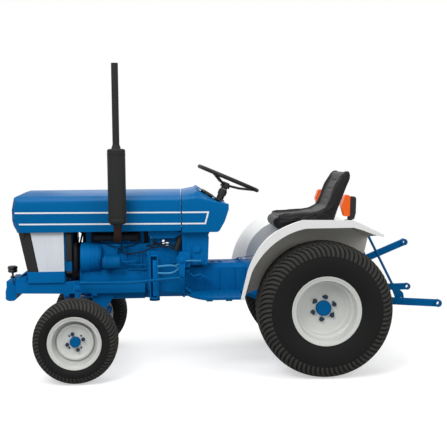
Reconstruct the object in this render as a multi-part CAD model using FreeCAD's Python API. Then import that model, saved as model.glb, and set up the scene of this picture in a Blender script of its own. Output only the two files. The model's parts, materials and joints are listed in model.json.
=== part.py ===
import FreeCAD
import Part
import math
import os

os.makedirs("parts", exist_ok=True)
V = FreeCAD.Vector
X, Y, Z = V(1, 0, 0), V(0, 1, 0), V(0, 0, 1)

# ---- driving dimensions, in millimetres ----
# The tractor is drawn from its rear axle line: +X forward, +Y to the driver's left, +Z up from the ground.
# It is moved once, at the end, so that the origin is the bottom centre of its bounding box.
WHEELBASE = 1510.0
REAR_R, REAR_W, REAR_Y = 415.0, 310.0, 434.0
REAR_RIM_R, REAR_RIM_W, REAR_SEAT_R = 212.0, 250.0, 190.0
REAR_DISC_Y, REAR_PCD, REAR_STUD_R = 438.0, 139.7, 8.0
KINGPIN_Y, KINGPIN_R = 335.0, 16.0
FRONT_R, FRONT_W, FRONT_Y = 255.0, 200.0, KINGPIN_Y + 145.0
FRONT_RIM_R, FRONT_RIM_W, FRONT_SEAT_R = 160.0, 170.0, 139.0
FRONT_DISC_Y, FRONT_PCD, FRONT_STUD_R = FRONT_Y + 31.0, 100.0, 6.5
STEER_ARM, DRAG_ARM = 140.0, 58.0
STUB_R = 18.2
AXLE_PIVOT_Z, AXLE_PIVOT_R = 385.0, 18.7
RAIL_Z0, RAIL_Z1 = 495.0, 570.0
TRAY_Z = 638.0
HOOD_HALF, HOOD_TOP, HOOD_BOTTOM, HOOD_SPLIT = 239.0, 1143.0, 888.0, 862.0
HOOD_SHEET, HOOD_GAP = 3.0, 5.0
HINGE_Z, HINGE_PIN_R = 866.0, 6.0
ENGINE_HALF, ENGINE_LEN, SUMP_Z, BLOCK_TOP = 160.0, 405.0, 446.0, 800.0
FAN_Z, FAN_R = 758.0, 112.0
GEARBOX_HALF, GEARBOX_Z0, GEARBOX_Z1 = 118.0, 447.0, 662.0
STACK_X, STACK_TOP, MUFFLER_R, TAIL_R = -252.0, 1920.0, 55.5, 21.0
PITMAN_LEN = 112.0
WHEEL_RIM_R, WHEEL_TILT, COLUMN_R = 217.5, 23.4, 24.0
FENDER_IN, FENDER_OUT, FENDER_SHEET = 250.0, 560.0, 4.0
SEAT_HALF = 215.0
DECK_Z = 494.0
ROCKSHAFT_X, ROCKSHAFT_Z, ROCKSHAFT_R = -95.0, 790.0, 22.0
LIFT_PIN_R, HITCH_PIN_R = 9.5, 11.0
LOWER_EYE_R, TOP_EYE_R = 11.2, 9.7
PTO_R, PTO_Z = 17.45, 470.0
FIT = 0.1          # running clearance on a radius
SEATED = 0.3       # gap between two pieces that bear on each other and turn

FRONT = WHEELBASE                 # front axle line
ENGINE_X1 = FRONT - 20.0          # engine front face
ENGINE_X0 = ENGINE_X1 - ENGINE_LEN
NOSE_X = FRONT + 407.0
HINGE_X = FRONT + 352.0
FRAME_X1 = FRONT + 403.0
FRAME_X0 = ENGINE_X0 + 15.0
FRONT_REACH = FRONT + 492.0
REAR_REACH = 772.0
SHIFT = -(FRONT_REACH - REAR_REACH) / 2.0
RAIL_HALF = ENGINE_HALF + 40.0    # the frame rails stand outside the engine
STACK_Y = HOOD_HALF + 91.0        # the muffler clears the bonnet's side
DASH_HALF = 172.0
PITMAN_Y = DASH_HALF + 78.0       # the pitman arm turns beside the dash, inside the drag link's end
TYRE_GROWTH = REAR_R - 415.0      # how far the fender and its lamps move out with the rear tyre

NODES = {}


def keep(name, *shapes):
    NODES.setdefault(name, []).extend(shapes)


# ---- outlines and solids ----
def loop(place, start, steps):
    """A closed wire: a step of two numbers is a line, one of four an arc through a point to a point."""
    edges = []
    at = start
    for s in list(steps) + [start]:
        if len(s) == 4:
            edges.append(Part.Arc(place(at), place(s[:2]), place(s[2:])).toShape())
            at = s[2:]
        elif math.hypot(s[0] - at[0], s[1] - at[1]) > 1e-6:
            edges.append(Part.makeLine(place(at), place(s)))
            at = s
    return Part.Wire(edges)


def side(y0, y1, start, *steps):
    """A plate or block with its outline in the X-Z plane."""
    return Part.Face(loop(lambda p: V(p[0], y0, p[1]), start, steps)).extrude(V(0, y1 - y0, 0))


def plan(z0, z1, start, *steps):
    return Part.Face(loop(lambda p: V(p[0], p[1], z0), start, steps)).extrude(V(0, 0, z1 - z0))


def cross(x0, x1, start, *steps):
    return Part.Face(loop(lambda p: V(x0, p[0], p[1]), start, steps)).extrude(V(x1 - x0, 0, 0))


def spin_y(x, z, start, *steps):
    return Part.Face(loop(lambda p: V(x, p[0], z + p[1]), start, steps)).revolve(V(x, 0, z), Y, 360)


def spin_z(x, y, start, *steps):
    return Part.Face(loop(lambda p: V(x + p[0], y, p[1]), start, steps)).revolve(V(x, y, 0), Z, 360)


def spin_x(y, z, start, *steps):
    return Part.Face(loop(lambda p: V(p[0], y, z + p[1]), start, steps)).revolve(V(0, y, z), X, 360)


def box(x0, x1, y0, y1, z0, z1):
    return Part.makeBox(x1 - x0, y1 - y0, z1 - z0, V(x0, y0, z0))


def sbox(x0, x1, s, y0, y1, z0, z1):
    """A box on side s, from y0 outwards to y1."""
    return box(x0, x1, min(s * y0, s * y1), max(s * y0, s * y1), z0, z1)


def rod(r, p, q):
    p, q = V(*p), V(*q)
    return Part.makeCylinder(r, (q - p).Length, p, q - p)


def cross_rod(r, x, z, s, y0, y1):
    return rod(r, (x, s * y0, z), (x, s * y1, z))


def pipe(r, bend, *points):
    """A round bar or pipe along points, with its corners bent to a radius."""
    pts = [V(*p) for p in points]
    edges = []
    at = pts[0]
    for a, b, c in zip(pts, pts[1:], pts[2:]):
        u, v = (a - b).normalize(), (c - b).normalize()
        half = u.getAngle(v) / 2.0
        run = min(bend / math.tan(half), 0.48 * (a - b).Length, 0.48 * (c - b).Length)
        rad = run * math.tan(half)
        p, q = b + u * run, b + v * run
        m = b + (u + v).normalize() * (rad / math.sin(half) - rad)
        edges += [Part.makeLine(at, p), Part.Arc(p, m, q).toShape()]
        at = q
    edges.append(Part.makeLine(at, pts[-1]))
    ring = Part.Wire([Part.makeCircle(r, pts[0], pts[1] - pts[0])])
    return Part.Wire(edges).makePipeShell([ring], True, True)


def fuse(*s):
    return (s[0].fuse(list(s[1:])) if len(s) > 1 else s[0]).removeSplitter()


def flip(s):
    return s.mirror(V(0, 0, 0), Y)


def softened(shape, r, axis):
    """Rounds the straight edges that run along an axis."""
    edges = []
    for e in shape.Edges:
        if len(e.Vertexes) == 2 and isinstance(e.Curve, Part.Line):
            d = e.Vertexes[1].Point - e.Vertexes[0].Point
            if d.Length > 1 and abs(abs(d.normalize().dot(axis)) - 1) < 1e-4:
                edges.append(e)
    return shape.makeFillet(r, edges)


def strap(p, q, r1, r2, y0, y1):
    """A flat bar with round ends about two pins in the X-Z plane."""
    (x0, z0), (x1, z1) = p, q
    d = math.hypot(x1 - x0, z1 - z0)
    ux, uz = (x1 - x0) / d, (z1 - z0) / d
    k = (r1 - r2) / d
    c = math.sqrt(1 - k * k)

    def tangent(side_, x, z, r):
        nx, nz = k * ux - side_ * c * uz, k * uz + side_ * c * ux
        return (x + nx * r, z + nz * r)
    a, b = tangent(1, x0, z0, r1), tangent(1, x1, z1, r2)
    e, f = tangent(-1, x1, z1, r2), tangent(-1, x0, z0, r1)
    tip = (x1 + ux * r2, z1 + uz * r2)
    heel = (x0 - ux * r1, z0 - uz * r1)
    return side(y0, y1, a, b, tip + e, f, heel + a)


def smooth(points):
    c = Part.BSplineCurve()
    c.interpolate(points)
    return c.toShape()


# ---- wheels ----
def tyre(r, w, rim_r, rim_w, seat, x, y, z):
    """Open carcass on its bead seats: straight beads, a smooth outer curve and an inner one."""
    h, wall = w / 2.0, 12.0
    b = rim_w / 2.0 - 8.4
    d = r - rim_r
    lip, heel = rim_r + 3.0, seat + 0.4

    def curve(half):
        return smooth([V(x, y + a, z + c) for a, c in half + [(-a, c) for a, c in half[::-1]]])

    def outer(top):
        return curve([(-b, lip), (-b - 9, lip + 3.0), (-h + 5, rim_r + 0.24 * d), (-h, rim_r + 0.47 * d),
                      (-h + 4, rim_r + 0.70 * d), (-h + 20, top - 16), (-h + 48, top - 4.5),
                      (-h + 86, top - 1.4),
                      (-24, top)])
    crown = max(p.z for p in outer(r).discretize(400)) - z
    edges = [outer(2 * r - crown),
             curve([(-b + 20, heel + 14), (-b + 6, lip + 8), (-h + wall + 8, rim_r + 0.30 * d),
                    (-h + wall, rim_r + 0.48 * d), (-h + wall + 7, rim_r + 0.68 * d), (-h + 56, r - 20),
                    (-20, r - 17)])]
    for k in (-1, 1):
        pts = [V(x, y + k * b, z + lip), V(x, y + k * b, z + heel), V(x, y + k * (b - 20), z + heel),
               V(x, y + k * (b - 20), z + heel + 14)]
        edges += [Part.makeLine(p, q) for p, q in zip(pts, pts[1:])]
    return Part.Face(Part.Wire(Part.__sortEdges__(edges))).revolve(V(x, 0, z), Y, 360)


def rim(r, w, seat, disc_y, disc_r, hub_r, x, y, z):
    """Rolled rim with flanges, bead seats and a dropped centre, and a dished disc welded in it."""
    h, t, k = w / 2.0, 4.0, seat - 26.0
    barrel = spin_y(x, z, (y - h, r), (y - h + 5, r + 1), (y - h + 8, r - 6), (y - h + 8, seat),
                    (y - h + 38, seat - 4), (y - h + 46, seat - 8, y - h + 52, seat - 24),
                    (y + h - 66, seat - 24),
                    (y + h - 58, seat - 8, y + h - 50, seat - 4), (y + h - 8, seat), (y + h - 8, r - 6),
                    (y + h - 5, r + 1), (y + h, r), (y + h, r - 8), (y + h - 4, r - 12),
                    (y + h - 4, seat - t),
                    (y + h - 48, seat - 8 - t), (y + h - 60, seat - 14 - t, y + h - 66, seat - 24 - t),
                    (y - h + 52, seat - 24 - t), (y - h + 42, seat - 14 - t, y - h + 34, seat - 8 - t),
                    (y - h + 4, seat - t), (y - h + 4, r - 12), (y - h, r - 8))
    yy = disc_y
    disc = spin_y(x, z, (yy - 30, k + 1), (yy - 24, k + 1), (yy - 20, k - 8, yy - 12, k - 14),
                  (yy + 6, disc_r + 12), (yy + 8, disc_r + 4, yy + 4, disc_r - 6), (yy, disc_r - 14),
                  (yy, hub_r),
                  (yy - 6, hub_r), (yy - 6, disc_r - 12), (yy, disc_r + 2), (yy - 20, k - 14),
                  (yy - 30, k - 4))
    return fuse(barrel, disc)


def hub(disc_y, hub_r, pcd, tail, bore, x, z):
    """Hub with its flange behind the disc and a domed cap in front of it."""
    back = disc_y - 6.0
    steps = [(back, bore), (back, 0), (disc_y + 26, 0), (disc_y + 26, hub_r - 12),
             (disc_y + 25, hub_r - 6, disc_y + 18, hub_r - 2), (disc_y, hub_r - 0.4), (back, hub_r - 0.4),
             (back, pcd / 2 + 16), (back - 10, pcd / 2 + 16), (back - 16, hub_r - 4), (tail, hub_r - 4)]
    return spin_y(x, z, (tail, bore), *(steps if bore else steps[1:]))


def wheel_set(end, x, r, w, yc, rim_r, rim_w, seat, disc_y, disc_r, hub_r, bolts, pcd, stud, tail, bore):
    ring = [(x + pcd / 2 * math.cos(a), r + pcd / 2 * math.sin(a))
            for a in [2 * math.pi * (i + 0.5) / bolts for i in range(bolts)]]
    rimmed = rim(rim_r, rim_w, seat, disc_y, disc_r, hub_r, x, yc, r)
    rimmed = rimmed.cut([cross_rod(stud + FIT, px, pz, 1, disc_y - 20, disc_y + 0.1) for px, pz in ring])
    studs = [cross_rod(stud, px, pz, 1, disc_y - 7, disc_y + 22) for px, pz in ring]
    nuts = [cross_rod(stud * 1.7, px, pz, 1, disc_y, disc_y + 12) for px, pz in ring]
    hubbed = fuse(hub(disc_y, hub_r, pcd, tail, bore, x, r), *(studs + nuts))
    t = tyre(r, w, rim_r, rim_w, seat, x, yc, r)
    for name, s in (("left", lambda k: k), ("right", flip)):
        keep("%s_tyre_%s" % (end, name), s(t))
        keep("%s_rim_%s" % (end, name), s(rimmed))
        keep("%s_hub_%s" % (end, name), s(hubbed))


HORN_END = REAR_DISC_Y - 42.0


def wheels():
    wheel_set("rear", 0, REAR_R, REAR_W, REAR_Y, REAR_RIM_R, REAR_RIM_W, REAR_SEAT_R, REAR_DISC_Y, 157.0,
              48.5,
              6, REAR_PCD, REAR_STUD_R, HORN_END + SEATED, 0)
    wheel_set("front", FRONT, FRONT_R, FRONT_W, FRONT_Y, FRONT_RIM_R, FRONT_RIM_W, FRONT_SEAT_R, FRONT_DISC_Y,
              98.0, 33.0, 4, FRONT_PCD, FRONT_STUD_R, FRONT_DISC_Y - 87, STUB_R + SEATED)


# ---- front frame and axle ----
def front_frame():
    h, web = RAIL_HALF, 10.0
    lip = 45.0
    parts = []
    for s in (-1, 1):
        outline = ((FRAME_X0, RAIL_Z0), (FRAME_X1 - 30, RAIL_Z0),
                   (FRAME_X1 - 9, RAIL_Z0 + 9, FRAME_X1, RAIL_Z0 + 30), (FRAME_X1, RAIL_Z1),
                   (FRAME_X0, RAIL_Z1))
        parts.append(side(min(s * (h - web), s * h), max(s * (h - web), s * h), *outline))
        for z in (RAIL_Z0, RAIL_Z1 - 8):
            x0 = ENGINE_X1 + 30
            parts.append(sbox(x0, FRAME_X1 - 30, s, h - lip, h - web, z, z + 8))
        parts.append(sbox(FRAME_X0, ENGINE_X1 + 30, s, ENGINE_HALF + 15, h - web, RAIL_Z1 - 10, RAIL_Z1))
        # gusset from the rear yoke up to the rail
        g0, g1 = sorted((s * (h - 50), s * (h - 38)))
        parts.append(side(g0, g1, (FRONT - 72, RAIL_Z0 + 4),
                          (FRONT - 72, 402), (FRONT - 118, 372, FRONT - 152, 386), (FRONT - 212, 470),
                          (FRONT - 218, RAIL_Z0 + 4)))
        parts.append(sbox(FRONT - 218, FRONT - 72, s, h - 50, h, RAIL_Z0 - 1, RAIL_Z0 + 7))
    nose = box(FRONT + 332, FRAME_X1, -h + web, h - web, RAIL_Z0 + 10, 615)
    parts.append(nose.cut(box(FRONT + 344, FRAME_X1 - 12, -h + 40, h - 40, 400, 700)))
    parts.append(box(FRONT + 92, FRONT + 334, -h + web, h - web, RAIL_Z1 - 8, RAIL_Z1))
    tray = softened(box(FRONT + 92, FRONT + 325, -214, 214, RAIL_Z1 - 2, TRAY_Z), 8, Z)
    parts.append(tray.cut(box(FRONT + 98, FRONT + 319, -208, 208, RAIL_Z1 - 3, TRAY_Z - 6)))
    for x0, top in ((FRONT - 105, RAIL_Z0 + 12), (FRONT + 71, RAIL_Z1 - 4)):
        yoke = cross(x0, x0 + 34, (-h, RAIL_Z0 - 15), (-h, RAIL_Z0 + 12), (-h + web, RAIL_Z0 + 12),
                     (-h + web, top),
                     (h - web, top), (h - web, RAIL_Z0 + 12), (h, RAIL_Z0 + 12), (h, RAIL_Z0 - 15), (54, 398),
                     (50, AXLE_PIVOT_Z), (0, AXLE_PIVOT_Z - 50, -50, AXLE_PIVOT_Z), (-54, 398))
        parts.append(yoke)
    bore = rod(AXLE_PIVOT_R + SEATED, (FRONT - 130, 0, AXLE_PIVOT_Z), (FRONT + 130, 0, AXLE_PIVOT_Z))
    keep("front_frame", fuse(*parts).cut(bore))


def front_bumper():
    x = FRONT + 425
    outer = side(-165, 165, (x + 14, 575), (x + 46, 575), (x + 60, 556), (x + 67, 520), (x + 67, 470),
                 (x + 58, 440, x + 33, 434), (x + 8, 442, x, 470), (x, 546))
    lugs = [box(FRAME_X1, x + 4, s * 85 - 20, s * 85 + 20, 512, 566) for s in (-1, 1)]
    bolt = rod(7.0, (x + 31, 0, 430), (x + 31, 0, 580))
    body = fuse(outer, *lugs).cut(bolt)
    keep("front_bumper", body)
    keep("tow_pin", spin_z(x + 31, 0, (0, 560), (6.8, 560), (6.8, 575), (16, 575), (16, 585), (6.8, 585),
                           (6.8, 610),
                           (14, 610), (27, 612, 27, 630), (27, 651, 14, 652), (0, 652)))


def front_axle():
    k = KINGPIN_Y
    z = AXLE_PIVOT_Z
    beam = cross(FRONT - 38, FRONT + 38, (-k + 30, 392), (-210, 398), (-70, z + 40), (70, z + 40), (210, 398),
                 (k - 30, 392), (k - 30, 320), (210, 322), (70, z - 47), (-70, z - 47), (-210, 322),
                 (-k + 30, 320))
    slots = [cross(x0, x0 + 24, (s * 90, 402), (s * 200, 384), (s * 200, 340), (s * 90, 354))
             for s in (-1, 1) for x0 in (FRONT - 38, FRONT + 14)]
    tubes = [rod(KINGPIN_R + 15, (FRONT, s * k, 300), (FRONT, s * k, 420)) for s in (-1, 1)]
    collars = [rod(KINGPIN_R + 20, (FRONT, s * k, h0), (FRONT, s * k, h0 + 16)) for s in (-1,
                                                                                          1) for h0 in (300,
                                                                                                        404)]
    ends = [sbox(FRONT - 26, FRONT + 26, s, k - 45, k - 12, 320, 394) for s in (-1, 1)]
    boss = rod(42, (FRONT - 69, 0, z), (FRONT + 69, 0, z))
    body = fuse(beam.cut(slots), boss, *(tubes + collars + ends))
    body = body.cut([rod(KINGPIN_R + SEATED, (FRONT, s * k, 290), (FRONT, s * k, 430)) for s in (-1, 1)])
    keep("front_axle", fuse(body, rod(AXLE_PIVOT_R, (FRONT - 112, 0, z), (FRONT + 118, 0, z))))


def knuckle(s):
    """Kingpin with its stub axle, the tie rod arm behind it and, on the left, the drag link arm on top."""
    x, y, z = FRONT, s * KINGPIN_Y, FRONT_R
    parts = [rod(KINGPIN_R, (x, y, z), (x, y, 560)), rod(34, (x, y, z - 30), (x, y, 299.7)),
             cross_rod(STUB_R, x, z, s, KINGPIN_Y, FRONT_DISC_Y - 11),
             cross_rod(30, x, z, s, KINGPIN_Y, FRONT_DISC_Y - 107), rod(27, (x, y, 420.3), (x, y, 442))]
    parts.append(plan(268, 282, (x - 10, y - 18), (x - STEER_ARM, y - 13),
                      (x - STEER_ARM - 13, y, x - STEER_ARM, y + 13),
                      (x - 10, y + 18)))
    parts.append(rod(7, (x - STEER_ARM, y, 262), (x - STEER_ARM, y, 316)))
    if s > 0:
        yd = y - DRAG_ARM
        parts.append(plan(546, 558, (x - 20, y + 8), (x, y + 25, x + 20, y + 8), (x + 17, yd),
                          (x + 4, yd - 15, x - 10, yd)))
        parts.append(rod(6, (x + 4, yd, 540), (x + 4, yd, 588)))
        parts.append(rod(24, (x, y, 540), (x, y, 566)))
    else:
        parts.append(rod(22, (x, y, 540), (x, y, 552)))
    keep("knuckle_%s" % ("left" if s > 0 else "right"), fuse(*parts))


def tie_rod():
    x, k = FRONT - STEER_ARM, KINGPIN_Y
    bar = spin_y(x, 296, (-k + 6, 0), (-k + 6, 10), (-k + 18, 14), (-k + 60, 14), (-k + 66, 11), (k - 66, 11),
                 (k - 60, 14), (k - 18, 14), (k - 6, 10), (k - 6, 0))
    ends = [rod(17, (x, s * k, 284), (x, s * k, 308)) for s in (-1, 1)]
    keep("tie_rod", fuse(bar, *ends).cut([rod(7 + FIT, (x, s * k, 270), (x, s * k, 320)) for s in (-1, 1)]))


PITMAN_PIVOT = (866.0, 702.0)
PITMAN_BALL = (PITMAN_PIVOT[0], PITMAN_PIVOT[1] - PITMAN_LEN)
BALL_R, BALL_PLAY = 6.0, 3.3


def drag_link():
    x0, z0 = FRONT + 4.0, 573.0
    x1, z1 = PITMAN_BALL[0], PITMAN_BALL[1] + BALL_PLAY
    y0, y1 = KINGPIN_Y - DRAG_ARM, PITMAN_Y + 27
    bar = pipe(9.5, 300, (x0 - 16, y0, z0), (x0 - 330, y0, z0 - 4), (x1 + 120, y1, z1 - 6), (x1 + 14, y1, z1))
    r = fuse(bar, rod(16, (x0, y0, z0 - 11), (x0, y0, z0 + 11)),
             rod(13, (x0 - 10, y0, z0), (x0 - 60, y0, z0)),
             cross_rod(18, x1, z1, 1, y1 - 11, y1 + 11))
    keep("drag_link", r.cut([rod(6 + FIT, (x0, y0, z0 - 20), (x0, y0, z0 + 20)),
                             cross_rod(BALL_R + BALL_PLAY + 1.2, x1, z1, 1, y1 - 20, y1 + 20)]))


def pitman():
    (x, z), y = PITMAN_PIVOT, PITMAN_Y
    arm = strap(PITMAN_PIVOT, PITMAN_BALL, 24, 16, y - 6, y + 6)
    ball = cross_rod(BALL_R, PITMAN_BALL[0], PITMAN_BALL[1], 1, y - 6, y + 44)
    keep("pitman_arm", fuse(arm, ball, cross_rod(12, x, z, 1, y + 6, y + 18),
                            cross_rod(14, x, z, 1, y - 44, y)))


# ---- engine ----
def engine():
    h, f, r = ENGINE_HALF, ENGINE_X1, ENGINE_X0
    block = box(r, f, -h + 18, h - 18, 560, BLOCK_TOP)
    skirt = softened(box(r, f, -h, h, 512, 640), 12, X)
    sump = cross(r + 20, f - 100, (-h + 10, 520), (h - 10, 520), (h - 30, 466),
                 (h - 38, SUMP_Z, h - 62, SUMP_Z),
                 (-h + 62, SUMP_Z), (-h + 38, SUMP_Z, -h + 30, 466))
    pads = [sbox(x0, x0 + 70, s, h - 4, RAIL_HALF - 10, RAIL_Z0 + 8, RAIL_Z1 - 10) for x0 in (r + 25, f - 170)
            for s in (-1, 1)]
    case = cross(f, f + 26, (-115, 470), (115, 470), (140, 560), (128, 700), (100, 780), (-100, 780),
                 (-140, 560))
    # round drive case low on the left, ribbed along its length
    drive = spin_x(128, 716, (f - 121, 0), (f - 121, 70), (f - 108, 86), (f - 60, 90), (f - 6, 98),
                   (f + 12, 98),
                   (f + 12, 0))
    rings = [spin_x(128, 716, (f + k, 60), (f + k, 94), (f + k + 6, 94), (f + k + 6, 60)) for k in (-98, -74,
                                                                                                    -50)]
    under_head = box(r, f + 30, -200, 119, BLOCK_TOP, 900)
    drive = fuse(drive, *rings).cut(under_head)
    crank = fuse(rod(24, (f + 20, 0, 590), (f + 34, 0, 590)), rod(70, (f + 28, 0, 590), (f + 43, 0, 590)))
    ribs = [sbox(f - 60 - 78 * k, f - 52 - 78 * k, s, h - 20, h - 4, 640, BLOCK_TOP - 20)
            for k in range(2, 5) for s in (-1, 1)]
    keep("engine_block", fuse(block, skirt, sump, case, drive, crank, *(pads + ribs)))
    head = softened(box(r + 20, f - 15, -112, 118, BLOCK_TOP, 892), 10, X)
    rocker = softened(box(r + 34, f - 30, -78, 64, 890, 968), 26, X)
    keep("cylinder_head", fuse(head, rocker))


def exhaust():
    x, y = FRONT + STACK_X, STACK_Y
    log = rod(26, (x - 108, 150, 847), (x + 162, 150, 847))
    runs = [box(xk - 22, xk + 22, 118, 140, 822, 872) for xk in (x - 98, x + 27, x + 152)]
    flanges = [box(xk - 30, xk + 30, 118, 126, 812, 882) for xk in (x - 98, x + 27, x + 152)]
    out = pipe(24, 52, (x + 7, 150, 847), (x + 7, 262, 847), (x, y, 847), (x, y, 925))
    keep("exhaust_manifold", fuse(log, out, *(runs + flanges)))
    m = MUFFLER_R
    can = spin_z(x, y, (0, 925), (26, 925), (30, 940), (m - 6, 946, m, 972), (m, 1386),
                 (m - 4, 1399, m - 18, 1402),
                 (m - 26, 1404), (TAIL_R + 1, 1427), (TAIL_R, 1427), (TAIL_R, STACK_TOP),
                 (TAIL_R - 2.5, STACK_TOP),
                 (TAIL_R - 2.5, 1440), (0, 1440))
    seams = [Part.makeTorus(m, 2.2, V(x, y, k), Z) for k in (988.0, 1370.0)]
    keep("exhaust_stack", fuse(can, *seams))


def ancillaries():
    f = ENGINE_X1
    filt = spin_x(ENGINE_HALF + 45, 692, (f - 239, 0), (f - 239, 28), (f - 236, 40, f - 224, 44),
                  (f - 150, 44), (f - 146, 47),
                  (f - 134, 47), (f - 134, 30), (f - 124, 30), (f - 124, 0))
    base = box(f - 134, f - 124, ENGINE_HALF - 18, ENGINE_HALF + 72, 664, 722)
    keep("oil_filter", fuse(filt, base))
    h = ENGINE_HALF
    starter = spin_x(-h - 45, 625, (f - 400, 0), (f - 400, 38), (f - 310, 38), (f - 304, 43), (f - 190, 43),
                     (f - 184, 30), (f - 178, 0))
    coil = spin_x(-h - 45, 689, (f - 340, 0), (f - 340, 24), (f - 250, 24), (f - 242, 16), (f - 234, 0))
    starter = fuse(starter, coil, box(f - 330, f - 260, -h - 72, -h - 18, 645, 685),
                   box(f - 400, f - 360, -h - 45, -h, 600, 639))
    pump = fuse(softened(box(f - 200, f - 80, -h - 52, -h + 18, 690, 780), 8, X),
                *[rod(9, (f - k, -h - 20, 780), (f - k, -h - 20, 798)) for k in (180.0, 140.0, 100.0)])
    pump = fuse(pump, rod(30, (f - 80, -h - 16, 735), (f - 38, -h - 16, 735)))
    a = HOOD_HALF - 49                # the alternator hangs just inside the bonnet's side
    alternator = spin_x(-a, 850, (f - 110, 0), (f - 110, 38), (f - 100, 46), (f - 20, 46), (f - 12, 38),
                        (f - 12, 9), (f + 20, 9), (f + 20, 30), (f + 26, 30), (f + 29, 24), (f + 33, 24),
                        (f + 36, 30), (f + 41, 30), (f + 41, 0))
    alternator = fuse(alternator, box(f - 90, f - 30, -a, -112, 800, 815),
                      box(f - 90, f - 30, -a - 25, -a + 25, 800, 830))
    keep("engine_ancillaries", starter, pump, alternator)
    r = 66.0
    can = spin_x(-30, 1040, (f - 370, 0), (f - 370, r - 4), (f - 364, r), (f - 330, r), (f - 328, r - 6),
                 (f - 140, r - 6), (f - 130, r - 16), (f - 124, 0))
    neck = pipe(20, 30, (f - 240, -60, 1010), (f - 240, -104, 950), (f - 240, -104, 892))
    keep("air_cleaner", fuse(can, neck, box(f - 320, f - 180, -60, 0, 968, 985)))
    tank = softened(box(HOOD_SPLIT + 28, ENGINE_X0 - 10, -178, 178, 836, 1050), 28, Y)
    neck = fuse(rod(24, (HOOD_SPLIT + 80, -60, 1045), (HOOD_SPLIT + 80, -60, 1085)),
                rod(30, (HOOD_SPLIT + 80, -60, 1085), (HOOD_SPLIT + 80, -60, 1104)))
    legs = [sbox(ENGINE_X0 - 15, ENGINE_X0 - 11, s, 90, 130, BLOCK_TOP + 6, 850) for s in (-1, 1)]
    legs += [sbox(HOOD_SPLIT, HOOD_SPLIT + 40, s, 170, 176, 842, 876) for s in (-1, 1)]
    keep("engine_ancillaries", fuse(tank, neck, *legs))


def cooling():
    x = FRONT + 40
    hub_ = fuse(rod(32, (x - 5, 0, FAN_Z), (x + 6, 0, FAN_Z)),
                rod(14, (ENGINE_X1 + 26.3, 0, FAN_Z), (x - 5, 0, FAN_Z)),
                rod(42, (x - 28, 0, FAN_Z), (x - 14, 0, FAN_Z)))
    blades = []
    for i in range(6):
        b = softened(box(x - 2, x + 2, -20, 20, FAN_Z + 34, FAN_Z + FAN_R), 8, X)
        b.rotate(V(x, 0, 800), Z, 28)
        f = b.fuse(box(x - 3, x + 3, -10, 10, FAN_Z + 26, FAN_Z + 44))
        f.rotate(V(x, 0, FAN_Z), X, 60 * i)
        blades.append(f)
    keep("fan", fuse(hub_, *blades))
    x0 = FRONT + 70
    core = box(x0, x0 + 54, -196, 196, TRAY_Z, 868)
    tank = softened(box(x0 - 4, x0 + 58, -196, 196, 866, 892), 10, Y)
    neck = rod(20, (x0 + 26, 60, 890), (x0 + 26, 60, 906))
    shroud = box(x0 - 22, x0, -202, 202, TRAY_Z, 880)
    shroud = shroud.cut(rod(FAN_R + 5, (x0 - 40, 0, FAN_Z), (x0 + 10, 0, FAN_Z)))
    keep("radiator", fuse(core, tank, neck, shroud))
    x0 = FRONT + 145
    case = softened(box(x0, x0 + 135, -120, 120, TRAY_Z, 812), 5, Z)
    posts = [rod(9, (x0 + 25, s * 80, 811), (x0 + 25, s * 80, 830)) for s in (-1, 1)]
    keep("battery", fuse(case, *posts))


GRILLE_LEAN = 52.0 / 253.0
GRILLE_HALF = 205.0


def grille():
    """Front frame that leans back towards its foot: two posts, a head, a foot and the bars between them."""
    x, z0, z1 = FRONT + 323, TRAY_Z, 891.0

    def front(z):
        return x + (z - z0) * GRILLE_LEAN
    post = side(-GRILLE_HALF, GRILLE_HALF, (x, z0), (front(z1), z1), (front(z1) - 68, z1), (x - 66, z0))
    opening = side(-180, 180, (x + 100, 662), (x + 100, 862), (x - 200, 862), (x - 200, 662))
    hollow = side(-184, 184, (x - 18, z0 - 8), (front(880) - 16, 880), (x - 200, 880), (x - 200, z0 - 8))
    groove = [side(min(s * 204, s * 206), max(s * 204, s * 206), (x - 26, z0 - 1), (front(z1) - 26, z1 + 1),
                   (front(z1) - 42, z1 + 1), (x - 42, z0 - 1)) for s in (-1, 1)]
    frame = post.cut(opening).cut(hollow).cut(groove)
    bars = [box(front(z) - 13, front(z) - 3, -184, 184, z, z + 6) for z in [676 + 20.5 * i for i in range(9)]]
    stiles = [side(y - 4, y + 4, (front(655) - 22, 655), (front(655) - 10, 655), (front(868) - 10, 868),
                   (front(868) - 22, 868)) for y in (-60.0, 60.0)]
    ears = []
    for s in (-1, 1):
        ears.append(cross_rod(14, HINGE_X, HINGE_Z, s, 184, GRILLE_HALF + 2))
        ears.append(cross_rod(HINGE_PIN_R, HINGE_X, HINGE_Z, s, 184, GRILLE_HALF + 14))
    keep("grille", fuse(frame, *(bars + stiles + ears)))
    panel = side(206, 210, (FRONT + 94, z0), (x - 69, z0), (front(888) - 74, 888), (FRONT + 94, 888))
    swage = [side(209, 211.5, (FRONT + 110 + 44 * k, 660), (FRONT + 116 + 44 * k, 660),
                  (FRONT + 122 + 44 * k, 866),
                  (FRONT + 116 + 44 * k, 866)) for k in range(3)]
    panel = fuse(panel, *swage)
    keep("side_panels", panel, flip(panel))


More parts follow.
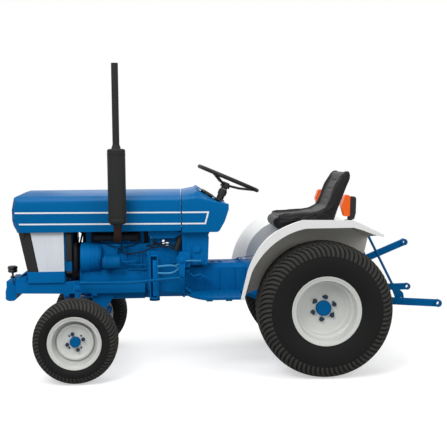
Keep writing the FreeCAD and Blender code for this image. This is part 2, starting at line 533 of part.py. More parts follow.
# ---- bonnet, cowl and dash ----
def hood_outline(t, bottom, rise=0.0, crease=0.0):
    """The bonnet's section: upright sides, a bevel above the crease and a domed top."""
    h = HOOD_HALF - t
    c = 1075 - t * 0.5 + crease
    top = HOOD_TOP - t + rise
    bev = 1108 - t + rise
    b = 178 - t * 0.5
    return [(-h + 2, bottom), (-h, bottom + 100), (-h - 1, 1010 + crease), (-h + 3, c),
            (-h + 5, c + 6, -h + 12, c + 11),
            (-b - 8, bev - 4), (-b, bev, -b + 10, bev + 3.5), (0, top, b - 10, bev + 3.5),
            (b, bev, b + 8, bev - 4),
            (h - 12, c + 11), (h - 5, c + 6, h - 3, c), (h + 1, 1010 + crease), (h, bottom + 100),
            (h - 2, bottom)]


def hood_solid(t, bottom):
    x0 = HOOD_SPLIT + HOOD_GAP
    n = NOSE_X
    profile = side(-300, 300, (x0, bottom), (n - 26 - t, bottom), (n - 24 - t, 906), (n - 6 - t, 951),
                   (n - t, 1014), (n - t, 1062), (n - 6 - t, 1092 - t * 0.7, n - 40 - t * 0.7, 1119 - t),
                   (n - 85, 1142 - t, n - 165, 1152 - t), (x0, 1152 - t))
    o = hood_outline(t, bottom)
    body = cross(x0, n + 50, o[0], *o[1:])
    h = HOOD_HALF + 10 - t
    edge = plan(bottom - 5, 1300, (x0, -h), (n - 150, -h), (n - 40 - t, -h + 22, n - 8 - t, -h + 85),
                (n - t, 0, n - 8 - t, h - 85), (n - 40 - t, h - 22, n - 150, h), (x0, h))
    return profile.common(body).common(edge)


def hood():
    outer = hood_solid(0.0, HOOD_BOTTOM)
    mouth = hood_outline(HOOD_SHEET, HOOD_BOTTOM - 4)
    shell = outer.cut(hood_solid(HOOD_SHEET, HOOD_BOTTOM - 4))
    shell = shell.cut(cross(HOOD_SPLIT - 10, HOOD_SPLIT + 30, mouth[0], *mouth[1:]))
    shell = shell.cut([box(NOSE_X - 37, NOSE_X + 13, s * 112 - 58, s * 112 + 58, 962, 1026) for s in (-1, 1)])
    ears = []
    for s in (-1, 1):
        y0, y1 = sorted((s * (GRILLE_HALF + 4), s * (GRILLE_HALF + 10)))
        ears.append(side(y0, y1, (HINGE_X - 14, HINGE_Z), (HINGE_X, HINGE_Z - 14, HINGE_X + 14, HINGE_Z),
                         (HINGE_X + 18, 978), (HINGE_X - 18, 978)))
        ears.append(sbox(HINGE_X - 18, HINGE_X + 18, s, GRILLE_HALF + 4, HOOD_HALF + 5, 962,
                         968).common(outer))
    pin = rod(HINGE_PIN_R + FIT, (HINGE_X, -225, HINGE_Z), (HINGE_X, 225, HINGE_Z))
    keep("hood", fuse(shell, *ears).cut(pin))
    lamps = []
    for s in (-1, 1):
        y = s * 112
        bucket = softened(box(NOSE_X - 49, NOSE_X - 12, y - 56, y + 56, 964, 1024), 8, X)
        bezel = box(NOSE_X - 60, NOSE_X, y - 66, y + 66, 954, 1034)
        bezel = bezel.common(hood_solid(HOOD_SHEET + 0.2, 880)).cut(box(0, NOSE_X - 16, -300, 300, 0, 2000))
        lamps.append(fuse(bucket, bezel))
    keep("headlamps", *lamps)


def cowl_shape(t):
    x1 = HOOD_SPLIT
    wires = []
    for x, rise, crease in ((x1 + t * 2, 0, 0), (784.0, 14, 8), (768.0, 25, 12), (579.0, -89, -30),
                            (560.0, -103, -34)):
        o = hood_outline(t, 860.0, rise, crease)
        wires.append(loop(lambda p, x=x: V(x, p[0], p[1]), o[0], o[1:]))
    body = Part.makeLoft(wires, True, True)
    rear = side(-300, 300, (x1 + 20, 876 - t), (x1 + 20, 1300), (565 + t, 1300), (565 + t, 1019),
                (591 + t, 943), (618 + t, 896), (628 + t, 882, 648 + t, 876 - t))
    return body.common(rear)


def cowl():
    shell = cowl_shape(0.0).cut(cowl_shape(HOOD_SHEET + 0.5))
    slope = math.degrees(math.atan2(114.0, 189.0))
    window = box(-79 - SEATED, 79 + SEATED, -139 - SEATED, 139 + SEATED, -30, 30)
    window.rotate(V(0, 0, 0), Y, -slope)
    window.translate(V(672, 0, 1108))
    hole = rod(COLUMN_R + 6, column_point(120), column_point(-200))
    keep("cowl", shell.cut(window).cut(hole))
    panel = softened(box(-79, 79, -139, 139, -8, -1), 6, Z)
    dials = [fuse(rod(r, (18, y, -24), (18, y, 3))).cut(rod(r - 3, (18, y, 1), (18, y, 6)))
             for y, r in ((0.0, 44.0), (-88.0, 27.0), (88.0, 27.0))]
    panel = fuse(panel, *dials)
    panel.rotate(V(0, 0, 0), Y, -slope)
    panel.translate(V(672, 0, 1108))
    keep("instrument_panel", panel.cut(hole))


COLUMN_AXIS = (-math.sin(math.radians(WHEEL_TILT)), math.cos(math.radians(WHEEL_TILT)))
WHEEL_HUB = (573.2, 1156.6)


def column_point(d, y=0.0):
    """A point on the steering column's line, d below the wheel's hub."""
    return (WHEEL_HUB[0] - COLUMN_AXIS[0] * d, y, WHEEL_HUB[1] - COLUMN_AXIS[1] * d)


def dash():
    outer = side(-DASH_HALF, DASH_HALF, (704, GEARBOX_Z1), (844, GEARBOX_Z1), (858, 700), (858, 882),
                 (704, 882),
                 (690, 840),
                 (696, 700))
    inner = side(6 - DASH_HALF, DASH_HALF - 6, (716, 650), (842, 650), (846, 700), (846, 862), (716, 862),
                 (706, 838),
                 (710, 702))
    ledge = box(654, HOOD_SPLIT, -HOOD_HALF, HOOD_HALF, 880, 884)
    ledge = ledge.common(cowl_shape(HOOD_SHEET + 0.8)).cut(box(716, 846, -120, 120, 870, 890))
    case_y = PITMAN_Y - 44
    gear = fuse(softened(box(812, 884, case_y - 56, case_y, 650, 750), 10, Y),
                cross_rod(34, *PITMAN_PIVOT, 1, case_y - 56, case_y + 6))
    h = DASH_HALF
    bosses = [cross_rod(26, 770, 768, s, h - 7, h + 14) for s in (-1, 1)]
    bosses += [cross_rod(17, 742, 690, s, h - 7, h + 12) for s in (-1, 1)]
    wings = [sbox(840, HOOD_SPLIT, s, h - 22, h + 6, 700, 880) for s in (-1, 1)]
    body = fuse(outer.cut(inner), ledge, gear, *(bosses + wings))
    body = body.cut(cross_rod(14 + FIT, *PITMAN_PIVOT, 1, case_y - 16, case_y + 9))
    keep("dash_pedestal", body.cut(rod(COLUMN_R + 0.4, column_point(0), column_point(400))))
    tube = rod(COLUMN_R, column_point(390), column_point(20))
    collar = rod(COLUMN_R + 5, column_point(60), column_point(28))
    keep("steering_column", fuse(tube, collar, box(708, 846, -60, 60, 790, 802)))


def steering_wheel():
    d = V(COLUMN_AXIS[0], 0, COLUMN_AXIS[1])
    hub_ = V(WHEEL_HUB[0], 0, WHEEL_HUB[1])
    c = hub_ + d * 56
    back = -d.cross(Y).normalize()
    back = back if back.x < 0 else -back
    parts = [Part.makeTorus(WHEEL_RIM_R - 13, 13, c, d), Part.makeCone(34, 26, 30, hub_ - d * 8, d),
             Part.makeCylinder(22, 46, hub_ - d * 19, d)]
    for a in (0.0, 120.0, 240.0):
        u = back * math.cos(math.radians(a)) + Y * math.sin(math.radians(a))
        parts.append(pipe(8, 60, tuple(hub_ + d * 8), tuple(hub_ + u * 90 + d * 22),
                          tuple(c + u * (WHEEL_RIM_R - 14))))
    keep("steering_wheel", fuse(*parts))


# ---- transmission and rear end ----
def octagon(x, h, z0, z1, c):
    pts = [(-h + c, z0), (h - c, z0), (h, z0 + c), (h, z1 - c), (h - c, z1), (-h + c, z1), (-h, z1 - c),
           (-h, z0 + c)]
    return loop(lambda p: V(x, p[0], p[1]), pts[0], pts[1:])


def driveline():
    h, z0, z1, e = GEARBOX_HALF, GEARBOX_Z0, GEARBOX_Z1, ENGINE_X0
    front = (GEARBOX_X1, h, z0, z1, 26)
    bell = Part.makeLoft([octagon(e, ENGINE_HALF + 8, 452, BLOCK_TOP, 50),
                          octagon(e - 55, ENGINE_HALF, 452, BLOCK_TOP - 18, 46),
                          octagon(*front)], True, True)
    flange = Part.Face(octagon(e, ENGINE_HALF + 16, 448, BLOCK_TOP + 6, 54)).extrude(V(-16, 0, 0))
    case = Part.makeLoft([octagon(*front), octagon(455, h, z0, z1, 26)], True, True)
    neck = Part.makeLoft([octagon(455, h, z0, z1, 26), octagon(170, 140, 330, 600, 40)], True, True)
    ribs = [box(k, k + 8, -h - 7, h + 7, 500, z1 - 32) for k in (520.0, 620.0, 720.0)]
    seams = [Part.Face(octagon(k, h + 9, z0 - 5, z1 + 4, 28)).extrude(V(14, 0, 0)) for k in (455.0,
                                                                                             GEARBOX_X1 - 14)]
    drain = rod(34, (e - 41, 40, 415), (e - 41, 40, 480))
    plate = sbox(e - 70, e - 14, 1, ENGINE_HALF - 10, PITMAN_Y - 35, 454, 733)
    plate = softened(plate, 14, Y).cut(box(e - 62, e - 22, ENGINE_HALF + 14, PITMAN_Y + 10, 462, 725))
    # the cradle's two side plates, which carry the fuel tank over the bell housing
    cradle = [side(min(s * 134, s * 140), max(s * 134, s * 140), (870, 834), (e - 20, 834), (e - 20, 770),
                   (980, 720),
                   (930, 668), (870, 668)).cut(window)
              for s, window in ((1, [box(948, 966, 120, 150, 786, 806), box(974, 988, 120, 150, 796, 822)]),
                                (-1, [box(940, 1000, -150, -120, 742, 800)]))]
    plugs = [rod(13, (x, 40, z1 - 4), (x, 40, z1 + 6)) for x in (612.0, 662.0)]
    keep("gearbox", fuse(bell, flange, case, neck, drain, plate, *(cradle + ribs + seams + plugs)))
    mid = Part.makeLoft([octagon(170, 140, 330, 600, 40), octagon(150, 150, 285, 600, 46)], True, True)
    diff = Part.makeLoft([octagon(150, 150, 285, 600, 46), octagon(-165, 150, 285, 600, 46)], True, True)
    cover = Part.Face(octagon(-165, 132, 300, 585, 40)).extrude(V(-14, 0, 0))
    parts = [mid, diff, cover]
    for s in (-1, 1):
        parts.append(spin_y(0, REAR_R, (s * 148, 0), (s * 148, 122), (s * 166, 122), (s * 172, 100),
                            (s * 180, 84, s * 210, 78), (s * (HORN_END - 24), 62), (s * (HORN_END - 20), 80),
                            (s * HORN_END, 80), (s * HORN_END, 0)))
        parts.append(sbox(-149, -80, s, 164, 172, 395, 470))
        parts.append(sbox(-60, 60, s, FENDER_IN - 12, FENDER_IN, 470, 700 + 2 * TYRE_GROWTH))
        parts.append(cross_rod(HITCH_PIN_R, LINK_PIVOT[0], LINK_PIVOT[1], s, 148, 212))
        parts.append(cross_rod(20, LINK_PIVOT[0], LINK_PIVOT[1], s, 150, 176))
        parts.append(sbox(-212, -170, s, 22, 34, 572, 618))
        parts.append(side(min(s * 66, s * 70), max(s * 66, s * 70), (-179, 540), (-262, 520), (-240, 440),
                          (-179, 430)))
    parts.append(cross_rod(TOP_EYE_R - 0.3, TOP_PIVOT[0], TOP_PIVOT[1], 1, -40, 40))
    parts.append(side(-70, 70, (-179, 540), (-240, 532), (-262, 520), (-262, 516), (-238, 528), (-179, 536)))
    keep("rear_axle", fuse(*parts))
    keep("pto_shaft", spin_x(0, PTO_Z, (-262, 0), (-262, 15), (-258, PTO_R), (-228, PTO_R), (-226, 15),
                             (-220, 15),
                             (-218, PTO_R), (-179.2, PTO_R), (-179.2, 0)))


GEARBOX_X1 = 860.0
LINK_PIVOT = (-125.0, 432.0)
TOP_PIVOT = (-200.0, 594.0)
TOP_EYE = (-624.0, 770.0)
LIFT_TIP = (-325.0, 850.0)
LIFT_AT = -530.0
LOWER_EYE = (-748.0, 414.0)
LINK_Y0, LINK_Y1 = 193.0, 342.0
LIFT_PLAY, PLAY_AT = 6.4, (-2.0, 5.1)


def lift():
    body = side(-105, 105, (-165, 600), (130, 600), (130, 745), (105, 770), (-140, 770), (-165, 745))
    body = softened(body, 12, X)
    boss = cross_rod(ROCKSHAFT_R + 24, ROCKSHAFT_X, ROCKSHAFT_Z, 1, -140, 140)
    pad = box(-160, 120, -118, 118, 600, 616)
    body = fuse(body, boss, pad).cut(cross_rod(ROCKSHAFT_R + FIT, ROCKSHAFT_X, ROCKSHAFT_Z, 1, -150, 150))
    keep("lift_housing", body)
    at = (ROCKSHAFT_X, ROCKSHAFT_Z)
    arms = [cross_rod(ROCKSHAFT_R, at[0], at[1], 1, -200, 200)]
    for s in (-1, 1):
        arms.append(strap(at, LIFT_TIP, 38, 22, min(s * 178, s * 196), max(s * 178, s * 196)))
        arms.append(cross_rod(36, at[0], at[1], s, 150, 196))
        arms.append(cross_rod(LIFT_PIN_R, LIFT_TIP[0], LIFT_TIP[1], s, 178, 228))
    keep("lift_arms", fuse(*arms))
    for s in (-1, 1):
        name = "left" if s > 0 else "right"
        lift_rod(name, s)
        lower_link(name, s)
    top_link()
    bar = softened(box(-372, -60, -28, 28, 262, 282), 10, Z)
    hangers = [box(-150, -100, -50, 50, 254, 285), box(-80, -40, -50, 50, 254, 285)]
    keep("drawbar", fuse(bar, *hangers).cut(rod(11.0, (-345, 0, 250), (-345, 0, 300))))


def link_point(x):
    k = (x - LINK_PIVOT[0]) / (LOWER_EYE[0] - LINK_PIVOT[0])
    return LINK_Y0 + (LINK_Y1 - LINK_Y0) * k, LINK_PIVOT[1] + (LOWER_EYE[1] - LINK_PIVOT[1]) * k


def lift_rod(name, s):
    """Rod with an eye at the lift arm, and a forged boot with an eye at the lower link."""
    y_link, z_link = link_point(LIFT_AT)
    p, q = V(LIFT_TIP[0], s * 213, LIFT_TIP[1]), V(LIFT_AT, s * (y_link - 28), z_link)
    d = (q - p).normalize()
    top = p + d * 14
    neck = q - d * 118
    yb = [min(q.y, neck.y) - 4, max(q.y, neck.y) + 4]
    boot = side(yb[0], yb[1], (q.x - 27, q.z - 6), (q.x - 6, q.z - 25, q.x + 20, q.z - 14),
                (q.x + 30, q.z + 16),
                (neck.x + 12, neck.z - 4), (neck.x + 3, neck.z + 8, neck.x - 12, neck.z),
                (q.x - 18, q.z + 50))
    parts = [cross_rod(16, p.x, p.z, s, 204, 222), rod(8, tuple(top), tuple(neck + d * 12)), boot]
    cuts = [cross_rod(LIFT_PIN_R + FIT, p.x, p.z, s, 190, 240),
            cross_rod(LIFT_PIN_R + LIFT_PLAY, q.x + PLAY_AT[0], q.z + PLAY_AT[1], s, 200, 300)]
    keep("lift_rod_" + name, fuse(*parts).cut(cuts))


def lower_link(name, s):
    """Flat bar splayed outwards, with a collar at the axle, a ball end at the implement and the lift pin."""
    p = V(LINK_PIVOT[0], s * LINK_Y0, LINK_PIVOT[1])
    run = math.hypot(LINK_Y1 - LINK_Y0, LINK_PIVOT[0] - LOWER_EYE[0])
    yaw = math.degrees(math.atan2(s * (LINK_Y1 - LINK_Y0), LINK_PIVOT[0] - LOWER_EYE[0]))
    bar = strap((0, 0), (-run, LOWER_EYE[1] - LINK_PIVOT[1]), 22.5, 22.5, -8, 8)
    bar.rotate(V(0, 0, 0), Z, -yaw)
    bar.translate(p)
    y_link, z_link = link_point(LIFT_AT)
    pin = cross_rod(LIFT_PIN_R, LIFT_AT, z_link, s, y_link - 34, y_link)
    ball = cross_rod(24, LOWER_EYE[0], LOWER_EYE[1], s, LINK_Y1 - 14, LINK_Y1 + 14)
    collar = cross_rod(25, p.x, p.z, s, LINK_Y0 - 12, LINK_Y0 + 12)
    bores = [cross_rod(HITCH_PIN_R + FIT, p.x, p.z, s, LINK_Y0 - 30, LINK_Y0 + 30),
             cross_rod(LOWER_EYE_R, LOWER_EYE[0], LOWER_EYE[1], s, LINK_Y1 - 30, LINK_Y1 + 30)]
    keep("lower_link_" + name, fuse(bar, ball, collar).cut(bores).fuse(pin).removeSplitter())


def top_link():
    bar = strap(TOP_PIVOT, TOP_EYE, 22, 22, -9, 9)
    eyes = [cross_rod(21, TOP_PIVOT[0], TOP_PIVOT[1], 1, -20, 20),
            cross_rod(22, TOP_EYE[0], TOP_EYE[1], 1, -22, 22)]
    bores = [cross_rod(TOP_EYE_R - 0.2, TOP_PIVOT[0], TOP_PIVOT[1], 1, -30, 30),
             cross_rod(TOP_EYE_R, TOP_EYE[0], TOP_EYE[1], 1, -30, 30)]
    keep("top_link", fuse(bar, *eyes).cut(bores))


# ---- operator's place ----
def fenders():
    """Pressed in one piece: top skin, inner wall and a lip that turns down outside the tyre."""
    t, o, g = FENDER_SHEET, FENDER_OUT, TYRE_GROWTH
    z0 = DECK_Z + SEATED

    def out(*points):
        """The outline as drawn round the tyre; a larger tyre moves it straight out from its axle."""
        moved = []
        for p in points:
            steps = []
            for x, z in zip(p[::2], p[1::2]):
                r = math.hypot(x, z - 415.0)
                steps += [x * (r + g) / r, REAR_R + (z - 415.0) * (r + g) / r]
            moved.append(tuple(steps))
        return moved

    top = [(520 + g, z0), (519 + g, 507)] + out((481, 660), (377, 842, 144, 976), (-160, 971), (-212, 947),
                                                (-344, 874))
    low = out((-344, 860), (-296, 730), (-230, 620), (150, 560)) + [(420 + g, z0 + 6), (440 + g, z0)]
    body = side(FENDER_IN, o, *(top + low))
    hollow = out((-350, 865.6), (-213, 942), (-161, 967), (144, 972), (374, 839, 477, 659))
    inside = side(FENDER_IN + t, o - t,
                  *(hollow + [(512 + g, 510), (513 + g, z0 - 9), (hollow[0][0], z0 - 9)]))
    edge = out((-350, 859.6), (-282, 876), (-212, 905), (-160, 922), (125, 921), (345, 806, 453, 660))
    mouth = side(o - t - 1, o + 1, *(edge + [(495 + g, 516), (497 + g, z0 - 9), (edge[0][0], z0 - 9)]))
    f = body.cut([inside, mouth])
    keep("fender_left", f)
    keep("fender_right", flip(f))
    y0, y1 = 400.0, 500.0
    lift = V(0, 0, 2 * g)
    lens = side(y0, y1, (-157, 984), (-157, 1098), (-122, 1104, -118, 1090), (-102, 1048), (-119, 990),
                (-124, 982, -132, 982))
    lens.translate(lift)
    keep("lamp_lenses", lens, flip(lens))
    case = side(y0 - 4, y1 + 4, (-157, 979), (-157, 1101), (-184, 1101), (-190, 1094, -192, 1080),
                (-190, 1000),
                (-184, 979))
    solid = side(300, 600, *(top + [(-344, 600)]))
    case = fuse(case, box(-176, -134, 425, 475, 940, 980))
    case.translate(lift)
    case = case.cut(solid)
    keep("fender_lamps", case, flip(case))


def seat():
    """One-piece bucket: a rolled front edge, a shallow pan and a back that leans and thickens upwards."""
    body = side(-SEAT_HALF, SEAT_HALF, (240, 889), (282, 886, 308, 918), (312, 950, 278, 990),
                (258, 1002, 230, 1003),
                (66, 1012), (10, 1040, -20, 1088), (-58, 1161), (-128, 1243), (-150, 1257, -172, 1257),
                (-212, 1250, -222, 1218), (-212, 1190), (-150, 1030), (-118, 948), (-104, 905, -60, 889))
    edge = plan(880, 1400, (-300, -SEAT_HALF), (190, -SEAT_HALF), (290, -190, 330, -100), (330, 100),
                (290, 190, 190, SEAT_HALF), (-300, SEAT_HALF))
    keep("seat", body.common(edge))
    rails = [box(-56, 236, s * 120 - 22, s * 120 + 22, 876, 889 - SEATED) for s in (-1, 1)]
    tray = box(-60, 200, -142, 142, 866, 876)
    post = box(-40, 104, -90, 90, 770, 866).cut(box(-30, 94, -82, 82, 760, 860))
    keep("seat_bracket", fuse(tray, post, *rails))


def platform():
    h, g = 450.0, GEARBOX_HALF
    rear = REAR_R + 83.0
    edge = [(rear, h), (rear, g), (840, g), (840, 200), (812, 330, 730, h)]
    inner = [(rear, h - 5), (729, h - 5), (808, 328, 835, 200), (840, 200), (812, 330, 730, h)]
    z = DECK_Z
    deck = plan(z - 6, z, edge[0], *edge[1:])
    rim_ = plan(z - 16, z, edge[0], *inner)
    toe = side(g + 14, 300, (800, z - 4), (846, z + 36), (842, z + 40), (796, z))
    stays = [box(x0, x0 + 40, g, 410, z - 30, z - 6) for x0 in (rear + 62, 680.0)]
    grips = [box(x0, x0 + 10, 190, 410, z - 1,
                 z + 2.5) for x0 in [rear + 32 + 34 * k for k in range(6)] if x0 < 705]
    b = fuse(deck, rim_, toe, *(stays + grips))
    keep("footboards", b, flip(b))
    pedals = []
    for y in (190.0, -190.0, -250.0):
        arm = pipe(8, 20, (830, y, 625), (795, y, 590), (742, y, 600))
        pad = box(696, 742, y - 26, y + 26, 595, 603)
        pad.rotate(V(742, y, 600), Y, -25)
        pedals.append(fuse(arm, pad, rod(14, (830, y - 12, 625), (830, y + 12, 625))))
    keep("pedals", fuse(rod(10, (830, g, 625), (830, 204, 625)), pedals[0]),
         fuse(rod(10, (830, -264, 625), (830, -g, 625)), pedals[1], pedals[2]))
    levers = []
    for x, y, z, rise, k, tx, ty, tz in ((492.0, -60.0, GEARBOX_Z1, 40.0, 18.0, 300.0, -90.0, 756.0),
                                         (492.0, 60.0, GEARBOX_Z1, 40.0, 18.0, 300.0, 90.0, 742.0),
                                         (100.0, -224.0, 700.0, 60.0, 13.0, 160.0, -232.0, 966.0)):
        stick = pipe(7, 30, (x, y, z + 4), (x, y, z + rise), (tx, ty, tz))
        knob = spin_z(tx, ty, (0, tz - k), (6, tz - k), (k, tz, 6, tz + k), (0, tz + k))
        levers.append(fuse(stick, knob, box(x - 20, x + 20, y - 20, y + 20, z, z + 16)))
    levers[2] = fuse(levers[2], box(80, 120, -244, -105, 700, 716))
    keep("levers", *levers)


def write():
    for name, shapes in NODES.items():
        solids = []
        for s in shapes:
            s = s.copy()
            s.translate(V(SHIFT, 0, 0))
            solids += s.Solids
        shape = solids[0] if len(solids) == 1 else Part.makeCompound(solids)
        shape.exportStep("parts/%s.step" % name)
        print("%-20s solids %d  valid %s  %.0f cm3" % (name, len(solids), shape.isValid(),
                                                      sum(k.Volume for k in solids) / 1000.0))


wheels()
front_frame()
front_bumper()
front_axle()
knuckle(1)
knuckle(-1)
tie_rod()
drag_link()
pitman()
engine()
exhaust()
ancillaries()
cooling()
grille()
hood()
cowl()
dash()
steering_wheel()
driveline()
lift()
fenders()
seat()
platform()
write()
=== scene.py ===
import json
import math
import bmesh
import bpy
from mathutils import Matrix, Vector
from mathutils.bvhtree import BVHTree


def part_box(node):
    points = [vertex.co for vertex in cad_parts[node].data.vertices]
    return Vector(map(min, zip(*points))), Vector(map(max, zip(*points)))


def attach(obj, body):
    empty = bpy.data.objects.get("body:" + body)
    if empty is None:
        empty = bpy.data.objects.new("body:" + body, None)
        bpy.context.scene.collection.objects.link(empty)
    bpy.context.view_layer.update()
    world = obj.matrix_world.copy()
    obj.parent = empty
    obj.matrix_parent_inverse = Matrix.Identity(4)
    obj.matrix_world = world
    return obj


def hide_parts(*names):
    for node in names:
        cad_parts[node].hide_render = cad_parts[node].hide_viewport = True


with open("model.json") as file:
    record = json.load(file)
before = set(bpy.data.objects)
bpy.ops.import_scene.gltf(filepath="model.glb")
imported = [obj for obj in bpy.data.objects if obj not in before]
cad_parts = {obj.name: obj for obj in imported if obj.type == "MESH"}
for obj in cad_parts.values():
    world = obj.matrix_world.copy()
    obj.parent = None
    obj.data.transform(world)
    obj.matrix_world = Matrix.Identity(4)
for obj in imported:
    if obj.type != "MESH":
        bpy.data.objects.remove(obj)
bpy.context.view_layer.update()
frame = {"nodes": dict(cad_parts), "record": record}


# ---- places, in millimetres from the rear axle line ----
def middle(node):
    low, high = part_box(node)
    return (Vector(low) + Vector(high)) / 2


REAR_AXLE = middle("rear_tyre_left")
AXLE_X, AXLE_Z = REAR_AXLE.x, REAR_AXLE.z * 1000


def at(x, y, z):
    return Vector((x / 1000 + AXLE_X, y / 1000, z / 1000))


def millimetres(v):
    """A point's x, y, z in the measure that at() takes."""
    return (v.x - AXLE_X) * 1000, v.y * 1000, v.z * 1000


def edge(node, axis, side=1):
    """A node's face in millimetres, in the same measure as at()."""
    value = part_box(node)[side][axis]
    return (value - AXLE_X if axis == 0 else value) * 1000


# ---- numbers ----
def clamp(value):
    return max(0.0, min(1.0, value))


def ease(value, low, high):
    """0 below low and 1 above high, with a smooth rise between."""
    t = clamp((value - low) / (high - low))
    return t * t * (3 - 2 * t)


def bell(value, width):
    return math.exp(-(value / width) ** 2)


def between(rows, value):
    """The rows' other columns at a value of their first one, which rises."""
    value = max(rows[0][0], min(rows[-1][0], value))
    for low, high in zip(rows, rows[1:]):
        if value <= high[0]:
            t = (value - low[0]) / (high[0] - low[0])
            return [a + (b - a) * t for a, b in zip(low[1:], high[1:])]


# ---- materials ----
def srgb(*rgb):
    return tuple((c / 255 / 12.92) if c < 11 else ((c / 255 + 0.055) / 1.055) ** 2.4 for c in rgb) + (1,)


def new_group(name, inputs, outputs):
    group = bpy.data.node_groups.new(name, "ShaderNodeTree")
    kinds = {"c": "NodeSocketColor", "f": "NodeSocketFloat", "v": "NodeSocketVector"}
    for label, kind, value in inputs:
        socket = group.interface.new_socket(label, in_out="INPUT", socket_type=kinds[kind])
        if value is not None:
            socket.default_value = value
    for label, kind in outputs:
        group.interface.new_socket(label, in_out="OUTPUT", socket_type=kinds[kind])
    return group, group.nodes.new("NodeGroupInput"), group.nodes.new("NodeGroupOutput")


def noise(tree, vector, scale, detail=4.0):
    n = tree.nodes.new("ShaderNodeTexNoise")
    n.inputs["Scale"].default_value = scale
    n.inputs["Detail"].default_value = detail
    n.inputs["Roughness"].default_value = 0.55
    tree.links.new(vector, n.inputs["Vector"])
    return n


def ramp(tree, value, low, high, to_low=0.0, to_high=1.0):
    n = tree.nodes.new("ShaderNodeMapRange")
    n.inputs["From Min"].default_value = low
    n.inputs["From Max"].default_value = high
    n.inputs["To Min"].default_value = to_low
    n.inputs["To Max"].default_value = to_high
    tree.links.new(value, n.inputs["Value"])
    return n.outputs["Result"]


def math_node(tree, kind, a, b):
    n = tree.nodes.new("ShaderNodeMath")
    n.operation = kind
    for socket, value in zip(n.inputs, (a, b)):
        if isinstance(value, (int, float)):
            socket.default_value = value
        else:
            tree.links.new(value, socket)
    return n.outputs[0]


def mix(tree, factor, a, b):
    n = tree.nodes.new("ShaderNodeMix")
    n.data_type = "RGBA"
    for socket, value in ((n.inputs["Factor"], factor), (n.inputs["A"], a), (n.inputs["B"], b)):
        if isinstance(value, (int, float, tuple)):
            socket.default_value = value
        else:
            tree.links.new(value, socket)
    return n.outputs["Result"]


def make_dust_group():
    """Colour that varies a little over the surface, with dust low down and in patches."""
    g, gi, go = new_group("dust", [("Vector", "v", None), ("Color", "c", (0.5, 0.5, 0.5, 1)),
                                   ("Dust Color", "c", (0.2, 0.18, 0.15, 1)), ("Dust", "f", 0.2), ("Shade", "f", 0.1),
                                   ("Scale", "f", 6.0), ("Roughness", "f", 0.4)],
                          [("Color", "c"), ("Roughness", "f")])
    big = noise(g, gi.outputs["Vector"], 6.0)
    g.links.new(gi.outputs["Scale"], big.inputs["Scale"])
    fine = noise(g, gi.outputs["Vector"], 90.0, 3.0)
    value = math_node(g, "ADD", 1.0, math_node(g, "MULTIPLY", gi.outputs["Shade"],
                                              math_node(g, "SUBTRACT", big.outputs["Fac"], 0.5)))
    shaded = g.nodes.new("ShaderNodeVectorMath")
    shaded.operation = "SCALE"
    g.links.new(gi.outputs["Color"], shaded.inputs[0])
    g.links.new(value, shaded.inputs["Scale"])
    split = g.nodes.new("ShaderNodeSeparateXYZ")
    g.links.new(gi.outputs["Vector"], split.inputs[0])
    low_down = ramp(g, split.outputs["Z"], 0.2, 1.0, 1.0, 0.35)
    patch = ramp(g, math_node(g, "ADD", math_node(g, "MULTIPLY", big.outputs["Fac"], 0.65),
                              math_node(g, "MULTIPLY", fine.outputs["Fac"], 0.35)), 0.45, 0.72)
    amount = math_node(g, "MULTIPLY", math_node(g, "MULTIPLY", patch, low_down), gi.outputs["Dust"])
    g.links.new(mix(g, amount, shaded.outputs[0], gi.outputs["Dust Color"]), go.inputs["Color"])
    uneven = math_node(g, "MULTIPLY", math_node(g, "SUBTRACT", fine.outputs["Fac"], 0.5), 0.08)
    duller = math_node(g, "ADD", math_node(g, "MULTIPLY", amount, 0.5), uneven)
    g.links.new(math_node(g, "ADD", gi.outputs["Roughness"], duller), go.inputs["Roughness"])
    return g


def make_skin_group():
    """Surface grain: a coarse ripple and a fine one, as a normal."""
    g, gi, go = new_group("skin", [("Vector", "v", None), ("Coarse", "f", 20.0), ("Fine", "f", 300.0),
                                   ("Mix", "f", 0.5), ("Strength", "f", 0.1), ("Depth", "f", 0.001)],
                          [("Normal", "v")])
    a = noise(g, gi.outputs["Vector"], 20.0, 3.0)
    b = noise(g, gi.outputs["Vector"], 300.0, 2.0)
    g.links.new(gi.outputs["Coarse"], a.inputs["Scale"])
    g.links.new(gi.outputs["Fine"], b.inputs["Scale"])
    both = g.nodes.new("ShaderNodeMix")
    g.links.new(gi.outputs["Mix"], both.inputs["Factor"])
    g.links.new(a.outputs["Fac"], both.inputs["A"])
    g.links.new(b.outputs["Fac"], both.inputs["B"])
    bump = g.nodes.new("ShaderNodeBump")
    g.links.new(both.outputs["Result"], bump.inputs["Height"])
    g.links.new(gi.outputs["Strength"], bump.inputs["Strength"])
    g.links.new(gi.outputs["Depth"], bump.inputs["Distance"])
    g.links.new(bump.outputs["Normal"], go.inputs["Normal"])
    return g


DUST = make_dust_group()
SKIN = make_skin_group()


def placed(tree, group, vector, **values):
    n = tree.nodes.new("ShaderNodeGroup")
    n.node_tree = group
    tree.links.new(vector, n.inputs["Vector"])
    for label, value in values.items():
        n.inputs[label.replace("_", " ")].default_value = value
    return n


